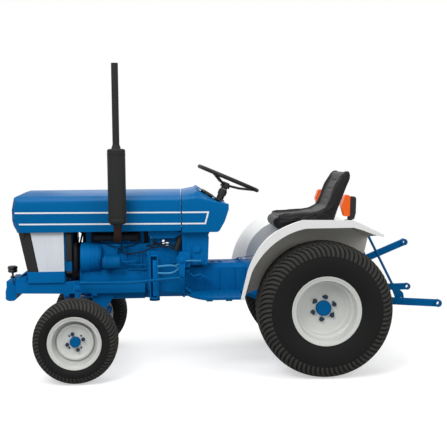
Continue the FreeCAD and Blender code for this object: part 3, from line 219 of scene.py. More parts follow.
def finish(name, color, rough=0.4, metal=0.0, coat=0.0, dust=0.15, shade=0.12, dust_color=(96, 88, 76), scale=6.0,
           coarse=18.0, fine=260.0, grain=0.5, bump=0.06, depth=0.001, specular=0.5, coat_rough=0.1):
    m = bpy.data.materials.new(name)
    m.use_nodes = True
    t = m.node_tree
    b = t.nodes["Principled BSDF"]
    where = t.nodes.new("ShaderNodeTexCoord").outputs["Object"]
    d = placed(t, DUST, where, Color=srgb(*color), Dust_Color=srgb(*dust_color), Dust=dust, Shade=shade, Scale=scale,
               Roughness=rough)
    s = placed(t, SKIN, where, Coarse=coarse, Fine=fine, Mix=grain, Strength=bump, Depth=depth)
    t.links.new(d.outputs["Color"], b.inputs["Base Color"])
    t.links.new(d.outputs["Roughness"], b.inputs["Roughness"])
    t.links.new(s.outputs["Normal"], b.inputs["Normal"])
    b.inputs["Metallic"].default_value = metal
    b.inputs["Coat Weight"].default_value = coat
    b.inputs["Coat Roughness"].default_value = coat_rough
    b.inputs["Specular IOR Level"].default_value = specular
    m.diffuse_color = srgb(*color)
    return m


BONNET_BLUE = finish("bonnet_enamel", (0, 94, 152), rough=0.32, dust=0.0, shade=0.08, bump=0.01, specular=0.05)
BLUE = finish("chassis_enamel", (0, 90, 148), rough=0.45, dust=0.2, shade=0.4, bump=0.12, specular=0.05,
              dust_color=(6, 54, 86))
IRON_BLUE = finish("painted_casting", (0, 102, 168), rough=0.5, dust=0.3, shade=0.55, coarse=60.0, fine=420.0,
                   bump=0.35, dust_color=(10, 50, 78), scale=9.0, specular=0.05)
# painted highlight: a pale blue for the hydraulic pipes that stands in for the sheen on their blue enamel
HIGHLIGHT_BLUE = finish("pipe_enamel_painted_highlight", (58, 142, 190), rough=0.4, dust=0.1, shade=0.2, bump=0.05, specular=0.2,
                   dust_color=(20, 80, 120))
DARK_BLUE = finish("shaded_enamel", (6, 40, 66), rough=0.5, dust=0.2, shade=0.3, bump=0.1, specular=0.1,
                   dust_color=(10, 30, 44))
WHITE = finish("fender_enamel", (221, 222, 221), rough=0.42, coat=0.15, dust=0.08, shade=0.04, bump=0.02,
               dust_color=(176, 174, 166))
# painted highlight: the fenders' tops are a lighter white than their lip, so that the far fender's top fades into the
# white backdrop
CROWN_HIGHLIGHT = finish("fender_crown_painted_highlight", (240, 241, 240), rough=0.45, dust=0.03, shade=0.02, bump=0.02,
               dust_color=(200, 198, 190), specular=0.2)
# a darker, dustier white for the fenders' undersides and inner walls: road dirt and painted shade
UNDERSIDE_DIRT_AND_SHADE = finish("fender_underside_dirt_and_shade", (206, 205, 200), rough=0.75, dust=0.3, shade=0.2, bump=0.2, coarse=30.0,
               dust_color=(120, 116, 106), specular=0.2)
WHEEL = finish("wheel_enamel", (205, 207, 203), rough=0.42, coat=0.12, dust=0.18, shade=0.10, bump=0.04,
               dust_color=(150, 147, 138))
PANEL = finish("panel_enamel", (211, 216, 224), rough=0.4, coat=0.15, dust=0.06, shade=0.05, bump=0.02,
               dust_color=(176, 178, 180))
BLACK = finish("black_enamel", (22, 22, 23), rough=0.42, coat=0.1, dust=0.12, shade=0.2, bump=0.08, specular=0.3)
PLASTIC = finish("black_plastic", (18, 18, 19), rough=0.55, dust=0.10, shade=0.2, fine=700.0, bump=0.15, specular=0.3)
RUBBER = finish("tyre_rubber", (22, 22, 22), rough=0.65, dust=0.1, shade=0.3, dust_color=(44, 42, 40), bump=0.2,
                coarse=40.0, specular=0.12)
TREAD = finish("tread_rubber", (52, 52, 50), rough=0.8, dust=0.5, shade=0.3, dust_color=(84, 78, 70), bump=0.3,
               coarse=60.0, scale=14.0, specular=0.2)
MUFFLER = finish("muffler_black", (28, 29, 29), rough=0.6, dust=0.3, shade=0.4, dust_color=(50, 42, 35), bump=0.25,
                 specular=0.2)
RUST = finish("rusty_pipe", (44, 28, 24), rough=0.85, dust=0.6, shade=0.6, dust_color=(24, 18, 16), bump=0.5,
              coarse=80.0, scale=30.0, specular=0.15)
STEEL = finish("bare_steel", (150, 150, 152), rough=0.38, metal=1.0, dust=0.2, shade=0.2, bump=0.1)
VINYL = finish("seat_vinyl", (28, 27, 29), rough=0.5, dust=0.06, shade=0.25, coarse=120.0, fine=520.0, grain=0.4,
               bump=0.35, depth=0.0015, dust_color=(58, 56, 56), specular=0.14)
STRIPE = finish("stripe_white", (226, 230, 234), rough=0.35, dust=0.0, shade=0.02, bump=0.02)
HOSE = finish("hose_rubber", (14, 14, 14), rough=0.6, dust=0.2, shade=0.2, bump=0.2, specular=0.25)
DIAL = finish("dial_face", (18, 18, 20), rough=0.35, dust=0.0, shade=0.05, bump=0.02)
# near-black blue: the exhaust manifold's dark iron, darkened further as painted shade under the bonnet, and painted
# shade for the blocks under the cowl
DARK_IRON_AND_SHADE = finish("dark_casting_and_painted_shade", (16, 24, 34), rough=0.7, dust=0.3, shade=0.4, bump=0.3, coarse=60.0, specular=0.15)
NUT = finish("wheel_nut", (16, 40, 62), rough=0.45, metal=0.3, dust=0.2, shade=0.3, bump=0.15)


def glass(name, color, rough, clear):
    m = finish(name, color, rough=rough, coat=0.1, dust=0.0, shade=0.05, bump=0.02, specular=0.3)
    b = m.node_tree.nodes["Principled BSDF"]
    b.inputs["Transmission Weight"].default_value = clear
    b.inputs["IOR"].default_value = 1.49
    return m


AMBER = glass("amber_lens", (228, 90, 0), rough=0.3, clear=0.0)
CLEAR = glass("clear_lens", (235, 240, 245), rough=0.06, clear=0.8)
# the finish of each of the record's slots, where a node has no finish of its own
FINISHES = {"blue": BLUE, "white": WHITE, "wheel_grey": WHEEL, "panel_grey": PANEL, "black": BLACK,
            "black_plastic": PLASTIC, "iron_blue": IRON_BLUE, "exhaust": MUFFLER, "rust": RUST, "steel": STEEL,
            "lamp": CLEAR, "dial": DIAL}


# ---- pieces ----
def smooth(mesh, angle):
    mesh.polygons.foreach_set("use_smooth", [True] * len(mesh.polygons))
    mesh.set_sharp_from_angle(angle=math.radians(angle))
    mesh.update()


def piece(name, bm, body, *materials, slot, angle=35, clean=True):
    if clean:
        bmesh.ops.recalc_face_normals(bm, faces=bm.faces)
    mesh = bpy.data.meshes.new(name)
    bm.to_mesh(mesh)
    bm.free()
    for m in materials:
        mesh.materials.append(m)
    smooth(mesh, angle)
    o = bpy.data.objects.new(name, mesh)
    bpy.context.scene.collection.objects.link(o)
    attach(o, body)
    return o


def add_bevel(o, width):
    m = o.modifiers.new("soft_edges", "BEVEL")
    m.width = width / 1000
    m.segments = 2
    m.limit_method = "ANGLE"
    m.angle_limit = math.radians(40)
    m.harden_normals = True


WELD, FLAT = 2e-6, math.radians(0.6)      # points this near are one, faces this level are one
NODE_BODY = {n: b for b, nodes in frame["record"]["behaviour"]["bodies"].items() for n in nodes}
NODE_SLOT = {s["node"]: s["material_slot"] for s in frame["record"]["subparts"]}


def refined(node, *materials, bevel=1.5, angle=32, pick=None, cuts=(), change=None):
    """A copy of a node with its facets merged and its edges softened, in the node's place.

    cuts are planes (axis, millimetres) that give the copy more points; change moves a point (x, y, z) of it."""
    source = frame["nodes"][node]
    bm = bmesh.new()
    bm.from_mesh(source.data)
    bmesh.ops.remove_doubles(bm, verts=bm.verts, dist=WELD)
    bmesh.ops.dissolve_limit(bm, angle_limit=FLAT, verts=bm.verts, edges=bm.edges)
    for axis, value in cuts:
        spot, normal = at(0, 0, 0), Vector((0, 0, 0))
        spot[axis] += value / 1000
        normal[axis] = 1
        bmesh.ops.bisect_plane(bm, geom=bm.verts[:] + bm.edges[:] + bm.faces[:], dist=1e-5, plane_co=spot,
                               plane_no=normal)
    for f in bm.faces:
        f.material_index = pick(f) if pick else 0
    if change:
        for v in bm.verts:
            v.co = at(*change(*millimetres(v.co)))
    o = piece(node + "_finished", bm, NODE_BODY[node], *materials, angle=angle, slot=NODE_SLOT[node], clean=False)
    if bevel:
        add_bevel(o, bevel)
    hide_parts(node)
    return o


# ---- tyres: a smooth carcass with rings of tread blocks ----
def add_part(bm, part):
    """Moves a finished small mesh into a larger one."""
    held = bpy.data.meshes.new("held")
    part.to_mesh(held)
    part.free()
    bm.from_mesh(held)
    bpy.data.meshes.remove(held)


def chain(bm, points):
    verts = [bm.verts.new(p) for p in points]
    edges = [bm.edges.new(pair) for pair in zip(verts, verts[1:])]
    return verts, edges


def ring(profile):
    """A closed outline of (y, r) points spun once round the Y axis."""
    bm = bmesh.new()
    verts, edges = chain(bm, [(0, y, r) for y, r in profile])
    edges.append(bm.edges.new((verts[-1], verts[0])))
    bmesh.ops.spin(bm, geom=verts + edges, axis=(0, 1, 0), cent=(0, 0, 0), angle=2 * math.pi, steps=96,
                   use_merge=True)
    bmesh.ops.recalc_face_normals(bm, faces=bm.faces)
    return bm


def block_ring(points, width, depth, count, slant, phase):
    """One tread block, spun from its outline and thickened inwards, then repeated round the wheel."""
    bm = bmesh.new()
    verts, edges = chain(bm, [(0, y, r) for y, r in points])
    bmesh.ops.spin(bm, geom=verts + edges, axis=(0, 1, 0), cent=(0, 0, 0), angle=width, steps=2)
    middle_y = sum(y for y, r in points) / len(points)
    for v in bm.verts:
        turn = Matrix.Rotation(phase - width / 2 + slant * (v.co.y - middle_y), 3, "Y")
        v.co = turn @ v.co
    bmesh.ops.recalc_face_normals(bm, faces=bm.faces)
    bm.faces.ensure_lookup_table()
    centre = bm.faces[0].calc_center_median()
    if bm.faces[0].normal.dot(Vector((centre.x, 0, centre.z))) < 0:
        bmesh.ops.reverse_faces(bm, faces=bm.faces)
    bmesh.ops.solidify(bm, geom=bm.faces[:], thickness=depth)
    bmesh.ops.spin(bm, geom=bm.verts[:] + bm.edges[:] + bm.faces[:], axis=(0, 1, 0), cent=(0, 0, 0),
                   angle=2 * math.pi * (count - 1) / count, steps=count - 1, use_duplicate=True)
    return bm


def mirrored_y(points):
    return [(-y, r) for y, r in points]


BLOCK_SHARE = 0.80                        # how much of the pitch a tread block fills
ROW_SLANT, SHOULDER_SLANT = 0.0009, 0.0022    # radians that a block leans for each millimetre across


def tyre(node, sidewall, crown_rows, shoulder, count, bar, crown_depth):
    """sidewall runs from the crown's middle down one side to the bead, in millimetres from the wheel's centre."""
    bm = bmesh.new()
    add_part(bm, ring(sidewall + [(-y, r) for y, r in reversed(sidewall) if y > 0]))
    carcass = len(bm.faces)
    pitch = 2 * math.pi / count
    for i, (y0, y1, r0, r1) in enumerate(crown_rows):
        points = [(y0, r0), ((y0 + y1) / 2, max(r0, r1)), (y1, r1)]
        slant, phase = ROW_SLANT * (-1) ** i, pitch * 0.5 * (i % 2)
        add_part(bm, block_ring(points, pitch * BLOCK_SHARE, crown_depth, count, slant, phase))
        if y0 > 0:
            add_part(bm, block_ring(mirrored_y(points), pitch * BLOCK_SHARE, crown_depth, count, -slant, phase))
    for points, slant in ((shoulder, -SHOULDER_SLANT), (mirrored_y(shoulder), SHOULDER_SLANT)):
        add_part(bm, block_ring(points, pitch * bar, crown_depth * 0.8, count, slant, pitch * 0.25))
    bmesh.ops.scale(bm, vec=(0.001, 0.001, 0.001), verts=bm.verts)
    bmesh.ops.translate(bm, vec=middle(node), verts=bm.verts)
    bm.faces.ensure_lookup_table()
    for f in bm.faces[carcass:]:
        f.material_index = 1
    o = piece(node + "_treaded", bm, NODE_BODY[node], RUBBER, TREAD, angle=30, slot="tyre", clean=False)
    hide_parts(node)


REAR_SIDEWALL = [(0, 404), (60, 403), (100, 399), (120, 392), (135, 380), (146, 360), (152, 336), (154.5, 312),
                 (153.5, 288), (148, 262), (140, 241), (131, 226), (126, 219), (124, 214), (121, 200), (116, 192.5),
                 (60, 192.2)]
REAR_ROWS = [(-17, 17, 414.6, 414.6), (26, 58, 414.2, 412.6), (67, 97, 411.8, 408.0)]
REAR_SHOULDER = [(104, 406), (122, 400), (137, 388), (147.5, 369), (152, 350), (153.6, 338)]
FRONT_SIDEWALL = [(0, 246), (40, 245.5), (66, 242), (80, 235), (90, 223), (97, 208), (99.3, 194), (98, 181), (93, 171),
                  (88, 166), (85, 163), (82, 150), (78, 141.5), (40, 141.2)]
FRONT_ROWS = [(-12, 12, 254.6, 254.6), (19, 42, 254.2, 252.8)]
FRONT_SHOULDER = [(49, 251), (68, 246), (83, 236.5), (93.5, 222), (98, 210)]

SIDES = (("left", 1), ("right", -1))
for side_name, side in SIDES:
    tyre("rear_tyre_" + side_name, REAR_SIDEWALL, REAR_ROWS, REAR_SHOULDER, 78, 0.56, 12)
    tyre("front_tyre_" + side_name, FRONT_SIDEWALL, FRONT_ROWS, FRONT_SHOULDER, 62, 0.58, 9.5)


# ---- bodywork ----
LIP, WALL = edge("fender_left", 1, 1), edge("fender_left", 1, 0)


def over_axle(f, side):
    """1 for a fender face that looks towards the wheel or is its inner wall, which takes a darker white (road dirt and
    painted shade), 2 for one on its top, which takes a lighter white (painted highlight).
    """
    c = f.calc_center_median()
    away = Vector((c.x - REAR_AXLE.x, 0, c.z - REAR_AXLE.z)).normalized()
    if f.normal.dot(away) < -0.3:
        return 1
    if abs(c.y) < 0.262 and f.normal.y * side > 0.6:
        return 1
    return 2 if f.normal.dot(away) > 0.6 else 0


def by_distance_from_axle(node, limit):
    """1 for a face further than limit, in metres, from the node's own axle line."""
    axle = middle(node)

    def pick(f):
        c = f.calc_center_median()
        return 1 if math.hypot(c.x - axle.x, c.z - axle.z) > limit else 0
    return pick


def by_side_reach(limit):
    return lambda f: 1 if abs(f.calc_center_median().y) > limit else 0


DONE = set()


def carried(node, *materials, **options):
    """Gives a node its finished copy, once."""
    DONE.add(node)
    refined(node, *materials, **options)


LIP_BAND, CROWN_FALL, LESS_ON_TOP, CROWN_DROP = 20, 62, 20, 7


def crown(x, y, z):
    """The fender's top falls away from its outer lip towards the driver."""
    r = math.hypot(x, z - AXLE_Z)
    inwards = clamp((LIP - abs(y)) / (LIP - WALL - LIP_BAND))
    deep = CROWN_FALL - LESS_ON_TOP * ease(z, 660, 820)
    drop = deep * inwards ** 1.25 * ease(r, 430, 515) * ease(z, 300, 430) + CROWN_DROP * ease(z, 880, 960)
    return x * (r - drop) / r, y, AXLE_Z + (z - AXLE_Z) * (r - drop) / r


LAMP_Y = 450.0                            # each fender lamp's middle


def narrowed(x, y, z):
    return x, (1 if y > 0 else -1) * (LAMP_Y + 0.6 * (abs(y) - LAMP_Y)), z


def lamp_on_fender(x, y, z):
    """A narrower lamp whose foot follows the fender's top down."""
    x, y, z = narrowed(x, y, z)
    low = crown(x, y, z)
    k = 1 - ease(z, 984, 990)
    return x + (low[0] - x) * k, y, z + (low[2] - 1 - z) * k


def turned(node, degrees):
    """Turns a point about the node's own axle line."""
    cx, _, cz = millimetres(middle(node))
    a = math.radians(degrees)

    def change(x, y, z):
        dx, dz = x - cx, z - cz
        return cx + dx * math.cos(a) - dz * math.sin(a), y, cz + dx * math.sin(a) + dz * math.cos(a)
    return change


LEVER_FOOT = edge("levers", 2, 0)
NOSE = edge("hood", 0, 1)
EAR_OUT = edge("grille", 1, 1) - 3.5
# distance from the bonnet's middle, and how far the nose comes forward there
NOSE_MORE = [(0, 12), (164, 18), (179, 22), (193, 26), (205, 30), (217, 34), (227, 36), (235, 38), (300, 38)]


def is_ear(x, y, z):
    """True on the plates that hang inside the bonnet and carry its hinge."""
    return NOSE - 75 < x < NOSE - 35 and z < 979.5 and EAR_OUT - 7 < abs(y) < EAR_OUT


def fuller_nose(x, y, z):
    """The pressed nose is squarer in plan and rounder in profile than the plain solid."""
    if is_ear(x, y, z):
        return x, y, z
    more, = between(NOSE_MORE, abs(y))
    more *= ease(z, 885, 975) * (1 - 0.75 * ease(z, 1035, 1095))
    return x + more * ease(x, NOSE - 180, NOSE - 105), y, z


LEVER_SHARE = 0.3                         # how much of their height the levers keep


def short_lever(x, y, z):
    return x, y, LEVER_FOOT + LEVER_SHARE * (z - LEVER_FOOT)


FENDER_CUTS = (280, 310, 340, 370, 400, 430, 460, 490, 520, 545)
BUMPER_LOW, BUMPER_HIGH, BUMPER_SHARE = edge("front_bumper", 2, 0), 560.0, 0.72


def bumper(x, y, z):
    """A lower bumper, set further back below its top."""
    k = 1 - ease(z, BUMPER_HIGH, BUMPER_HIGH + 8)
    mid = (BUMPER_LOW + BUMPER_HIGH) / 2 - 8
    return x - 6 - 14 * k, y, z + k * ((mid + (z - mid) * BUMPER_SHARE) - z)


RAIL_END, RAIL_LOW, RAIL_HIGH = 1850, 501.0, 592.0


def frame_nose(x, y, z):
    """The rails end square, without a raised or hanging corner."""
    if x > RAIL_END:
        z = min(max(z, RAIL_LOW), RAIL_HIGH)
    return x, y, z


def ear_face(f):
    return int(is_ear(*millimetres(f.calc_center_median())))


for side_name, side in SIDES:
    # underside and inner wall in a darker white (road dirt and painted shade), top in a lighter white (painted
    # highlight)
    carried("fender_" + side_name, WHITE, UNDERSIDE_DIRT_AND_SHADE, CROWN_HIGHLIGHT, bevel=1.2, pick=lambda f, side=side: over_axle(f, side),
            change=crown, cuts=[(1, side * y) for y in FENDER_CUTS])
    for hub, reach, turn in (("rear_hub_", 0.052, 11), ("front_hub_", 0.037, 27)):
        node = hub + side_name
        carried(node, BLUE, NUT, bevel=1.0, pick=by_distance_from_axle(node, reach), change=turned(node, turn))
    carried("front_rim_" + side_name, WHEEL, bevel=0)
    carried("rear_rim_" + side_name, WHEEL, bevel=0)
# the manifold's middle near-black (dark iron and painted shade), its outer pipes rusty
carried("exhaust_manifold", DARK_IRON_AND_SHADE, RUST, pick=by_side_reach(0.235))
carried("pedals", BLUE)
carried("levers", BLUE, change=short_lever)
carried("front_bumper", FINISHES[NODE_SLOT["front_bumper"]], change=bumper)
carried("front_frame", FINISHES[NODE_SLOT["front_frame"]], change=frame_nose)
carried("fender_lamps", PLASTIC, change=lamp_on_fender)
carried("lamp_lenses", AMBER, bevel=0.6, change=narrowed)
carried("headlamps", FINISHES[NODE_SLOT["headlamps"]], change=fuller_nose)
carried("hood", BONNET_BLUE, BLACK, bevel=3.0, angle=30, change=fuller_nose, pick=ear_face)
carried("cowl", BONNET_BLUE, bevel=3.0, angle=30)


# ---- driver's seat: moulded cushion and back in one piece ----
def applied(o):
    """The mesh with its modifiers made real, in a new object without them."""
    graph = bpy.context.evaluated_depsgraph_get()
    graph.update()
    mesh = bpy.data.meshes.new_from_object(o.evaluated_get(graph))
    fresh = bpy.data.objects.new(o.name + "_made", mesh)
    bpy.context.scene.collection.objects.link(fresh)
    bpy.data.objects.remove(o)
    return fresh


def inflated(o, frames=20, pressure=4.0, cap=0.008):
    """Lets the closed skin swell under a little air, no point moving further than cap."""
    start = [v.co.copy() for v in o.data.vertices]
    cloth = o.modifiers.new("swell", "CLOTH")
    cloth.settings.use_pressure = True
    cloth.settings.uniform_pressure_force = pressure
    cloth.settings.effector_weights.gravity = 0
    cloth.point_cache.frame_start = 1
    cloth.point_cache.frame_end = frames
    for f in range(1, frames + 1):
        bpy.context.scene.frame_set(f)
    done = applied(o)
    bpy.context.scene.frame_set(1)
    for v, p in zip(done.data.vertices, start):
        move = v.co - p
        if move.length > cap:
            v.co = p + move.normalized() * cap
    return done


SEAT_LINE = [(300, 905), (314, 940), (300, 975), (272, 996), (230, 1003), (150, 1008), (66, 1013), (22, 1032),
             (-10, 1072), (-34, 1117), (-58, 1161), (-92, 1204), (-128, 1243), (-150, 1256), (-172, 1257)]


def along_seat(x, z):
    """How far a point lies along the cushion's top line, and how far below it, in millimetres."""
    best = (1e9, 0.0)
    run = 0.0
    for (x0, z0), (x1, z1) in zip(SEAT_LINE, SEAT_LINE[1:]):
        length = math.hypot(x1 - x0, z1 - z0)
        t = clamp(((x - x0) * (x1 - x0) + (z - z0) * (z1 - z0)) / length ** 2)
        d = math.hypot(x - x0 - t * (x1 - x0), z - z0 - t * (z1 - z0))
        if d < best[0]:
            best = (d, run + t * length)
        run += length
    return best[1], best[0]


# height, front and rear of the back, and how far the padding's front lies behind the plain solid's
SEAT_BACK = [(985, 258, -132, 0), (1005, 200, -140, 0), (1013, 66, -143, 60), (1032, 22, -151, 84),
             (1072, -10, -167, 73), (1117, -34, -184, 68), (1161, -58, -201, 64), (1204, -92, -214, 53),
             (1243, -128, -217, 48), (1258, -165, -212, 26)]
# grooves: along the top line with their depth, and across the base
BACK_GROOVES = ((426, 3), (497, 5), (573, 5))
BASE_GROOVES = (-70, 0, 70)


def sunk(x, y, z):
    """The padding is thinner than the plain solid: lower on the base, further back on the back."""
    front, rear, shift = between(SEAT_BACK, z)
    w = clamp((x - rear) / (front - rear))
    down = 30 * clamp((z - 889) / 115) * (1 - ease(z, 985, 1060)) * ease(x, -90, 20)
    return x - shift * w - 25 * ease(x, 150, 312), y, z - down


def seat_cushion():
    bm = bmesh.new()
    bm.from_mesh(frame["nodes"]["seat"].data)
    bmesh.ops.remove_doubles(bm, verts=bm.verts, dist=1e-5)
    bm.normal_update()
    for v in bm.verts:
        v.co -= v.normal * 0.005
    mesh = bpy.data.meshes.new("cushion")
    bm.to_mesh(mesh)
    bm.free()
    o = bpy.data.objects.new("cushion", mesh)
    bpy.context.scene.collection.objects.link(o)
    remesh = o.modifiers.new("even", "REMESH")
    remesh.mode = "VOXEL"
    remesh.voxel_size = 0.006
    o = applied(o)
    o = inflated(o)
    bm = bmesh.new()
    bm.from_mesh(o.data)
    bpy.data.objects.remove(o)
    bmesh.ops.smooth_vert(bm, verts=bm.verts, factor=0.5, use_axis_x=True, use_axis_y=True, use_axis_z=True)
    bm.normal_update()
    moves = []
    half = edge("seat", 1) - 3
    for v in bm.verts:
        x, y, z = millimetres(v.co)
        run, depth = along_seat(x, z)
        top = bell(depth, 26) * ease(v.normal.dot(Vector((0.35, 0, 0.94))), -0.1, 0.5)
        inner = 1 - ease(abs(y), half - 78, half - 40)
        back = ease(run, 330, 400)
        push = 15 * inner * ease(run, 95, 150) * (1 - ease(run, 575, 620)) + 10 * inner * back
        push += 7 * bell(run - 108, 7)
        for groove, deep in BACK_GROOVES:
            push += 2 * deep * bell(run - groove, 7) * (1 - ease(abs(y), 52, 74))
        for groove in BASE_GROOVES:
            push += 4.0 * bell(y - groove, 5) * inner * ease(run, 130, 150) * (1 - ease(run, 330, 345))
        push += 5 * bell(abs(y) - (half - 58), 5) * ease(run, 110, 140)
        side_line = ease(abs(y), half - 16, half - 4) * 4.5 * bell(depth - 42, 5)
        moves.append((v, push * top + side_line))
    for v, push in moves:
        v.co -= v.normal * (push / 1000)
        v.co = at(*sunk(*millimetres(v.co)))
    o = piece("seat_cushion", bm, "chassis", VINYL, angle=80, slot="seat", clean=False)
    soft = o.modifiers.new("fine skin", "SUBSURF")
    soft.levels = soft.render_levels = 1
    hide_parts("seat")


seat_cushion()


# ---- stripes along bonnet and cowl ----
SURFACES = {}


def surface(node):
    if node not in SURFACES:
        mesh = bpy.data.objects[node + "_finished"].data
        SURFACES[node] = BVHTree.FromPolygons([v.co for v in mesh.vertices], [p.vertices for p in mesh.polygons])
    return SURFACES[node]


STRIPE_WIDTH, STRIPE_LIFT, STRIPE_THICK, STEPS_IN_500 = 9.5, 0.0006, 0.0012, 24


def strip(bm, node, points, side):
    """A thin band laid on a body panel's side along a line of (x, z) points in millimetres."""
    part = bmesh.new()
    rows = []
    path = []
    for (x0, z0), (x1, z1) in zip(points, points[1:]):
        n = max(2, int(STEPS_IN_500 * math.hypot(x1 - x0, z1 - z0) / 500))
        path += [(x0 + (x1 - x0) * i / n, z0 + (z1 - z0) * i / n) for i in range(n)]
    path.append(points[-1])
    for i, (x, z) in enumerate(path):
        a, b = path[max(0, i - 1)], path[min(len(path) - 1, i + 1)]
        along = Vector((b[0] - a[0], b[1] - a[1])).normalized()
        across = Vector((-along.y, along.x))
        row = []
        for k in (-0.5, 0.0, 0.5):
            px, pz = x + across.x * STRIPE_WIDTH * k, z + across.y * STRIPE_WIDTH * k
            place, normal, *_ = surface(node).ray_cast(at(px, side * 400, pz), Vector((0, -side, 0)))
            if place is None:
                break
            row.append(part.verts.new(place + normal * STRIPE_LIFT))
        if len(row) == 3:
            rows.append(row)
    for a, b in zip(rows, rows[1:]):
        for i in range(2):
            part.faces.new((a[i], b[i], b[i + 1], a[i + 1]))
    bmesh.ops.recalc_face_normals(part, faces=part.faces)
    part.faces.ensure_lookup_table()
    if part.faces[0].normal.y * side < 0:
        bmesh.ops.reverse_faces(part, faces=part.faces)
    bmesh.ops.solidify(part, geom=part.faces[:], thickness=STRIPE_THICK)
    add_part(bm, part)


def stripes():
    split = edge("cowl", 0, 1)
    front, rear = split + 7, split - 1.5
    lines = {"hood": ([(front, 1003.5), (NOSE - 20, 1011.5)], [(front, 932.5), (NOSE - 24, 941)]),
             "cowl": ([(rear, 1003.5), (692, 1002.5)], [(rear, 932.5), (719, 931.5)], [(694, 1007), (716, 927)])}
    for node, bands in lines.items():
        bm = bmesh.new()
        for side in (1, -1):
            for points in bands:
                strip(bm, node, points, side)
        piece("white_stripes_" + node, bm, NODE_BODY[node], STRIPE, slot="white", clean=False)


# ---- fasteners, pipes and hoses ----
AXES = {"x": Vector((1, 0, 0)), "y": Vector((0, 1, 0)), "z": Vector((0, 0, 1))}


def facing(place, axis, sign):
    return Matrix.Translation(place) @ (AXES[axis] * sign).to_track_quat("Z", "Y").to_matrix().to_4x4()


def bolt(bm, place, axis, across, height, sign=1):
    """A hexagon head on its washer, standing on place and looking along the axis."""
    spot = facing(place, axis, sign)
    bmesh.ops.create_cone(bm, cap_ends=True, segments=16, radius1=across * 0.00068, radius2=across * 0.00068,
                          depth=0.002, matrix=spot @ Matrix.Translation((0, 0, 0.001)))
    bmesh.ops.create_cone(bm, cap_ends=True, segments=6, radius1=across * 0.00058, radius2=across * 0.00052,
                          depth=height / 1000, matrix=spot @ Matrix.Translation((0, 0, 0.002 + height / 2000)))


def block(bm, x0, x1, y0, y1, z0, z1, soft):
    """A box with rounded edges."""
    low, high = at(x0, y0, z0), at(x1, y1, z1)
    size = high - low
    made = bmesh.ops.create_cube(bm, size=1, matrix=Matrix.Translation((low + high) / 2) @ Matrix.Diagonal(
        (abs(size.x), abs(size.y), abs(size.z), 1)))
    edges = list({e for v in made["verts"] for e in v.link_edges})
    bmesh.ops.bevel(bm, geom=edges, offset=soft / 1000, offset_type="OFFSET", segments=3, profile=0.5,
                    affect="EDGES", material=-1)


def tube(name, radius, material, slot, points):
    """A pipe or hose that runs on one smooth line between its two fittings."""
    curve = bpy.data.curves.new(name, "CURVE")
    curve.dimensions = "3D"
    line = curve.splines.new("NURBS")
    line.points.add(len(points) - 1)
    for p, q in zip(line.points, points):
        p.co = (*at(*q), 1)
    line.order_u = 3
    line.use_endpoint_u = True
    line.resolution_u = 6
    curve.bevel_depth = radius / 1000
    curve.bevel_resolution = 4
    curve.use_fill_caps = True
    o = bpy.data.objects.new(name, curve)
    bpy.context.scene.collection.objects.link(o)
    graph = bpy.context.evaluated_depsgraph_get()
    mesh = bpy.data.meshes.new_from_object(o.evaluated_get(graph))
    bpy.data.objects.remove(o)
    bm = bmesh.new()
    bm.from_mesh(mesh)
    bpy.data.meshes.remove(mesh)
    bmesh.ops.remove_doubles(bm, verts=bm.verts, dist=1e-6)
    piece(name, bm, "chassis", material, angle=50, slot=slot)


stripes()


# ---- engine bay ----
def leaving(a, b):
    """The angle at which a belt leaves pulley a for pulley b, each (y, z, radius)."""
    away = math.atan2(b[1] - a[1], b[0] - a[0])
    return away - math.acos(max(-1, min(1, (a[2] - b[2]) / math.hypot(b[0] - a[0], b[1] - a[1]))))


def loop_belt(bm, x, wheels, width, thick):
    """A belt round pulleys: each wheel is (y, z, radius), listed counter-clockwise seen from the front."""
    points = []
    for i, wheel in enumerate(wheels):
        y, z, r = wheel
        a0, a1 = leaving(wheels[i - 1], wheel), leaving(wheel, wheels[(i + 1) % len(wheels)])
        while a1 < a0:
            a1 += 2 * math.pi
        steps = max(2, int((a1 - a0) / 0.25))
        turns = [a0 + (a1 - a0) * k / steps for k in range(steps + 1)]
        points += [(y + r * math.cos(a), z + r * math.sin(a)) for a in turns]
    verts = [bm.verts.new(at(x - width / 2, y, z)) for y, z in points]
    edges = [bm.edges.new((verts[i - 1], verts[i])) for i in range(len(verts))]
    made = bmesh.ops.extrude_edge_only(bm, edges=edges)
    moved = [g for g in made["geom"] if isinstance(g, bmesh.types.BMVert)]
    bmesh.ops.translate(bm, vec=(width / 1000, 0, 0), verts=moved)
    bmesh.ops.recalc_face_normals(bm, faces=bm.faces)
    bmesh.ops.solidify(bm, geom=bm.faces[:], thickness=thick / 1000)


def injection_line(i, x):
    """From an injector over the side of the head down to the pump."""
    return [(x, 119, 878), (x, 132, 884), (x - 14, 136, 850), (x - 40 + 10 * i, 150, 800),
            (1240 + 20 * i, 158, 770), (1225 + 20 * i, 152, 740)]


def side_pipe(y, z):
    return [(1212, y, z), (1140, y + 6, z), (1090, y + 8, z), (1064, y + 8, z + 2)]


RUBBER_HOSE, IRON_PIPE, HIGHLIT_PIPE = (HOSE, "black_plastic"), (IRON_BLUE, "iron_blue"), (HIGHLIGHT_BLUE, "iron_blue")
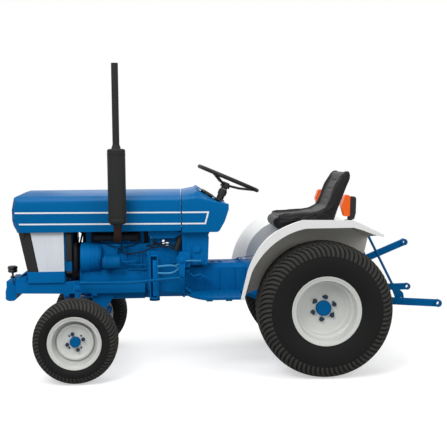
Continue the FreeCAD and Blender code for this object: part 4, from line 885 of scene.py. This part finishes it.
# name, radius, finish and slot, and the points that the line runs along
LINES = [
    # radiator hoses
    ("top_hose", 19, RUBBER_HOSE, [(1480, 40, 868), (1520, 44, 892), (1560, 50, 898), (1584, 54, 880)]),
    ("bottom_hose", 20, RUBBER_HOSE, [(1500, 96, 640), (1525, 118, 606), (1560, 126, 596), (1596, 120, 612)]),
    ("hose_column", 24, RUBBER_HOSE, [(1548, 128, 800), (1540, 150, 770), (1538, 158, 700), (1545, 150, 640),
                                      (1556, 132, 600)]),
    # fuel lines on the left of the engine
    *[("injection_line_%d" % i, 3.2, (DARK_BLUE, "blue"), injection_line(i, x))
      for i, x in enumerate((1392, 1267, 1142))],
    ("fuel_pipe", 4.0, RUBBER_HOSE, [(1220, 158, 735), (1150, 170, 742), (1080, 176, 760), (1040, 168, 800),
                                     (1030, 158, 838)]),
    ("filter_pipe", 5.5, IRON_PIPE, [(1250, 196, 692), (1215, 190, 690), (1170, 172, 690), (1140, 150, 690)]),
    *[("side_pipe_%d" % z, 4.5, (BLUE, "blue"), side_pipe(y, z)) for z, y in ((668, 168), (640, 166))],
    # hydraulic pipe looped beside the bell housing, and the one on to the steering, both pale blue as painted
    # highlight
    ("looped_pipe", 6.5, HIGHLIT_PIPE, [(1018, 212, 618), (985, 218, 616), (930, 222, 618), (905, 222, 628),
                                      (884, 218, 646), (905, 222, 664), (950, 222, 668), (1018, 214, 660)]),
    ("steering_pipe", 6.0, HIGHLIT_PIPE, [(905, 222, 664), (890, 226, 672), (868, 226, 690), (830, 222, 694),
                                        (800, 212, 694), (745, 190, 688)]),
    # breather hose, wiring loom and controls under the cowl
    ("breather_hose", 17, RUBBER_HOSE, [(862, 128, 886), (868, 150, 862), (880, 180, 825), (893, 196, 790),
                                        (902, 200, 762)]),
    ("loom", 5.5, RUBBER_HOSE, [(1068, 120, 826), (1030, 150, 802), (985, 172, 792), (950, 168, 800),
                                (905, 170, 780), (868, 186, 772)]),
    ("throttle_rod", 3.5, RUBBER_HOSE, [(1090, 150, 786), (1040, 164, 792), (960, 168, 812), (880, 160, 862)]),
    ("clutch_cable", 4.0, RUBBER_HOSE, [(1060, 156, 772), (1000, 170, 784), (930, 172, 776), (884, 176, 752)]),
]
# name, finish and slot, and the blocks: two x, two y, two z and the rounding
FILLERS = [
    # frame round the fan, and a black plate beside the fan on the right that darkens the gap beside the head: painted
    # shade
    ("fan_shroud_and_shade_plate", (PLASTIC, "black_plastic"),
     [(1556, 1592, -205, -180, 640, 885, 4), (1556, 1592, 180, 205, 700, 885, 4),
      (1556, 1592, -205, 205, 868, 890, 4), (1556, 1592, -205, 205, 622, 640, 4),
      (1400, 1520, -150, -120, 640, 884, 4)]),
    # plates between engine and clutch housing
    ("housing_cover", (IRON_BLUE, "iron_blue"),
     [(1062, 1114, -120, 120, 448, 522, 4), (1018, 1078, -60, 60, 860, 925, 6),
      (1392, 1440, -58, 58, 800, 884, 8), (1024, 1050, 168, 213, 470, 700, 2)]),
    # dark blocks under the cowl that stand in for the shade there: painted shade
    ("painted_shade_under_cowl", (DARK_IRON_AND_SHADE, "black_plastic"),
     [(1068, 1112, 30, 108, 796, 894, 6), (852, 880, 60, 110, 730, 818, 6)]),
]


def engine_bolts():
    """Bolts along the rocker cover, the block's foot and the bell housing's flange."""
    bm = bmesh.new()
    for y in (-62, 48):
        for k in range(5):
            bolt(bm, at(1140 + 78 * k, y, 938), "z", 12, 6)
    for side in (1, -1):
        for k in range(4):
            bolt(bm, at(1145 + 82 * k, side * 160.5, 620), "y", 13, 6, side)
    for z in (500, 560, 620, 680, 740):
        for y in (168, -168):
            bolt(bm, at(1077, y, z), "x", 12, 6, -1)
    piece("engine_bolts", bm, "chassis", IRON_BLUE, slot="iron_blue")


def engine_bay():
    # fan belt: crank, fan and alternator pulleys in one plane
    bm = bmesh.new()
    loop_belt(bm, 1523, [(0, 590, 70), (0, 758, 44), (-190, 850, 27)], width=11, thick=7)
    piece("fan_belt", bm, "chassis", HOSE, slot="black_plastic")
    for name, radius, (material, slot), points in LINES:
        tube(name, radius, material, slot, points)
    for name, (material, slot), blocks in FILLERS:
        bm = bmesh.new()
        for sizes in blocks:
            block(bm, *sizes)
        piece(name, bm, "chassis", material, slot=slot)
    engine_bolts()


engine_bay()


# ---- every other node, in its slot's finish ----
for node in sorted(frame["nodes"]):
    if node not in DONE and "tyre" not in node and node != "seat":
        carried(node, FINISHES[NODE_SLOT[node]])


# ---- camera, light and floor ----
LENS, CAMERA_PLACE = 65.5795973, (0.303, 5.349, 1.339)
YAW, PITCH, ROLL = 0.0622, 0.0798, -0.0091


def camera():
    data = bpy.data.cameras.new("camera")
    data.sensor_width = 36
    data.lens = LENS
    o = bpy.data.objects.new("camera", data)
    bpy.context.scene.collection.objects.link(o)
    forward = Vector((-math.sin(YAW) * math.cos(PITCH), -math.cos(YAW) * math.cos(PITCH), -math.sin(PITCH)))
    right = Vector((-math.cos(YAW), math.sin(YAW), 0))
    up = right.cross(forward)
    side = math.cos(ROLL) * right + math.sin(ROLL) * up
    top = -math.sin(ROLL) * right + math.cos(ROLL) * up
    turn = Matrix((side, top, -forward)).transposed().to_4x4()
    o.matrix_world = Matrix.Translation(CAMERA_PLACE) @ turn
    data.clip_end = 100
    bpy.context.scene.camera = o


LAMP_TARGET = Vector((0, 0, 0.6))


def lamp(name, place, size, power):
    data = bpy.data.lights.new(name, "AREA")
    data.size = size
    data.energy = power
    o = bpy.data.objects.new(name, data)
    bpy.context.scene.collection.objects.link(o)
    o.location = place
    o.rotation_euler = (LAMP_TARGET - Vector(place)).to_track_quat("-Z", "Y").to_euler()


SOFT_LIGHT, FLOOR_SEEN, FLOOR_GLOW = 0.42, 0.8, 0.5


def looked_at(t, seen):
    """1 for rays that see the surroundings: the camera's, a reflection's, or those through glass."""
    mirrored = math_node(t, "MAXIMUM", seen.outputs["Is Glossy Ray"], seen.outputs["Is Transmission Ray"])
    return math_node(t, "MAXIMUM", seen.outputs["Is Camera Ray"], mirrored)


def studio():
    lamp("key lamp", (2.2, 3.9, 4.2), 2.6, 160)
    lamp("fill lamp", (-3.4, 3.8, 2.6), 3.0, 62)
    lamp("top lamp", (0, 0.4, 4.6), 3.4, 70)
    lamp("back lamp", (0.5, -4.0, 3.6), 3.0, 35)
    world = bpy.data.worlds.new("studio")
    bpy.context.scene.world = world
    world.use_nodes = True
    t = world.node_tree
    seen = t.nodes.new("ShaderNodeLightPath")
    # white where the camera, metal or glass looks at it, softer as light
    level = ramp(t, looked_at(t, seen), 0.0, 1.0, SOFT_LIGHT, 1.0)
    background = t.nodes["Background"]
    background.inputs["Color"].default_value = (1, 1, 1, 1)
    t.links.new(level, background.inputs["Strength"])


def floor():
    bm = bmesh.new()
    bmesh.ops.create_grid(bm, x_segments=2, y_segments=2, size=40)
    mesh = bpy.data.meshes.new("floor")
    bm.to_mesh(mesh)
    bm.free()
    m = bpy.data.materials.new("floor_white")
    m.use_nodes = True
    t = m.node_tree
    b = t.nodes["Principled BSDF"]
    b.inputs["Roughness"].default_value = 0.9
    b.inputs["Specular IOR Level"].default_value = 0.0
    seen = t.nodes.new("ShaderNodeLightPath")
    direct = looked_at(t, seen)
    base = t.nodes.new("ShaderNodeCombineColor")
    shade = ramp(t, seen.outputs["Is Camera Ray"], 0.0, 1.0, SOFT_LIGHT, FLOOR_SEEN)
    for channel in base.inputs[:3]:
        t.links.new(shade, channel)
    t.links.new(base.outputs[0], b.inputs["Base Color"])
    glow = t.nodes.new("ShaderNodeEmission")
    t.links.new(math_node(t, "MULTIPLY", direct, FLOOR_GLOW), glow.inputs["Strength"])
    add = t.nodes.new("ShaderNodeAddShader")
    t.links.new(b.outputs[0], add.inputs[0])
    t.links.new(glow.outputs[0], add.inputs[1])
    # away from the object the floor turns into the plain white surroundings
    plain = t.nodes.new("ShaderNodeEmission")
    t.links.new(ramp(t, direct, 0.0, 1.0, SOFT_LIGHT, 1.0), plain.inputs["Strength"])
    away = t.nodes.new("ShaderNodeVectorMath")
    away.operation = "LENGTH"
    t.links.new(t.nodes.new("ShaderNodeTexCoord").outputs["Object"], away.inputs[0])
    fade = t.nodes.new("ShaderNodeMixShader")
    t.links.new(ramp(t, away.outputs["Value"], 1.5, 2.6), fade.inputs[0])
    t.links.new(add.outputs[0], fade.inputs[1])
    t.links.new(plain.outputs[0], fade.inputs[2])
    t.links.new(fade.outputs[0], t.nodes["Material Output"].inputs["Surface"])
    mesh.materials.append(m)
    o = bpy.data.objects.new("floor", mesh)
    bpy.context.scene.collection.objects.link(o)


camera()
studio()
floor()
bpy.context.scene.view_settings.view_transform = "Standard"
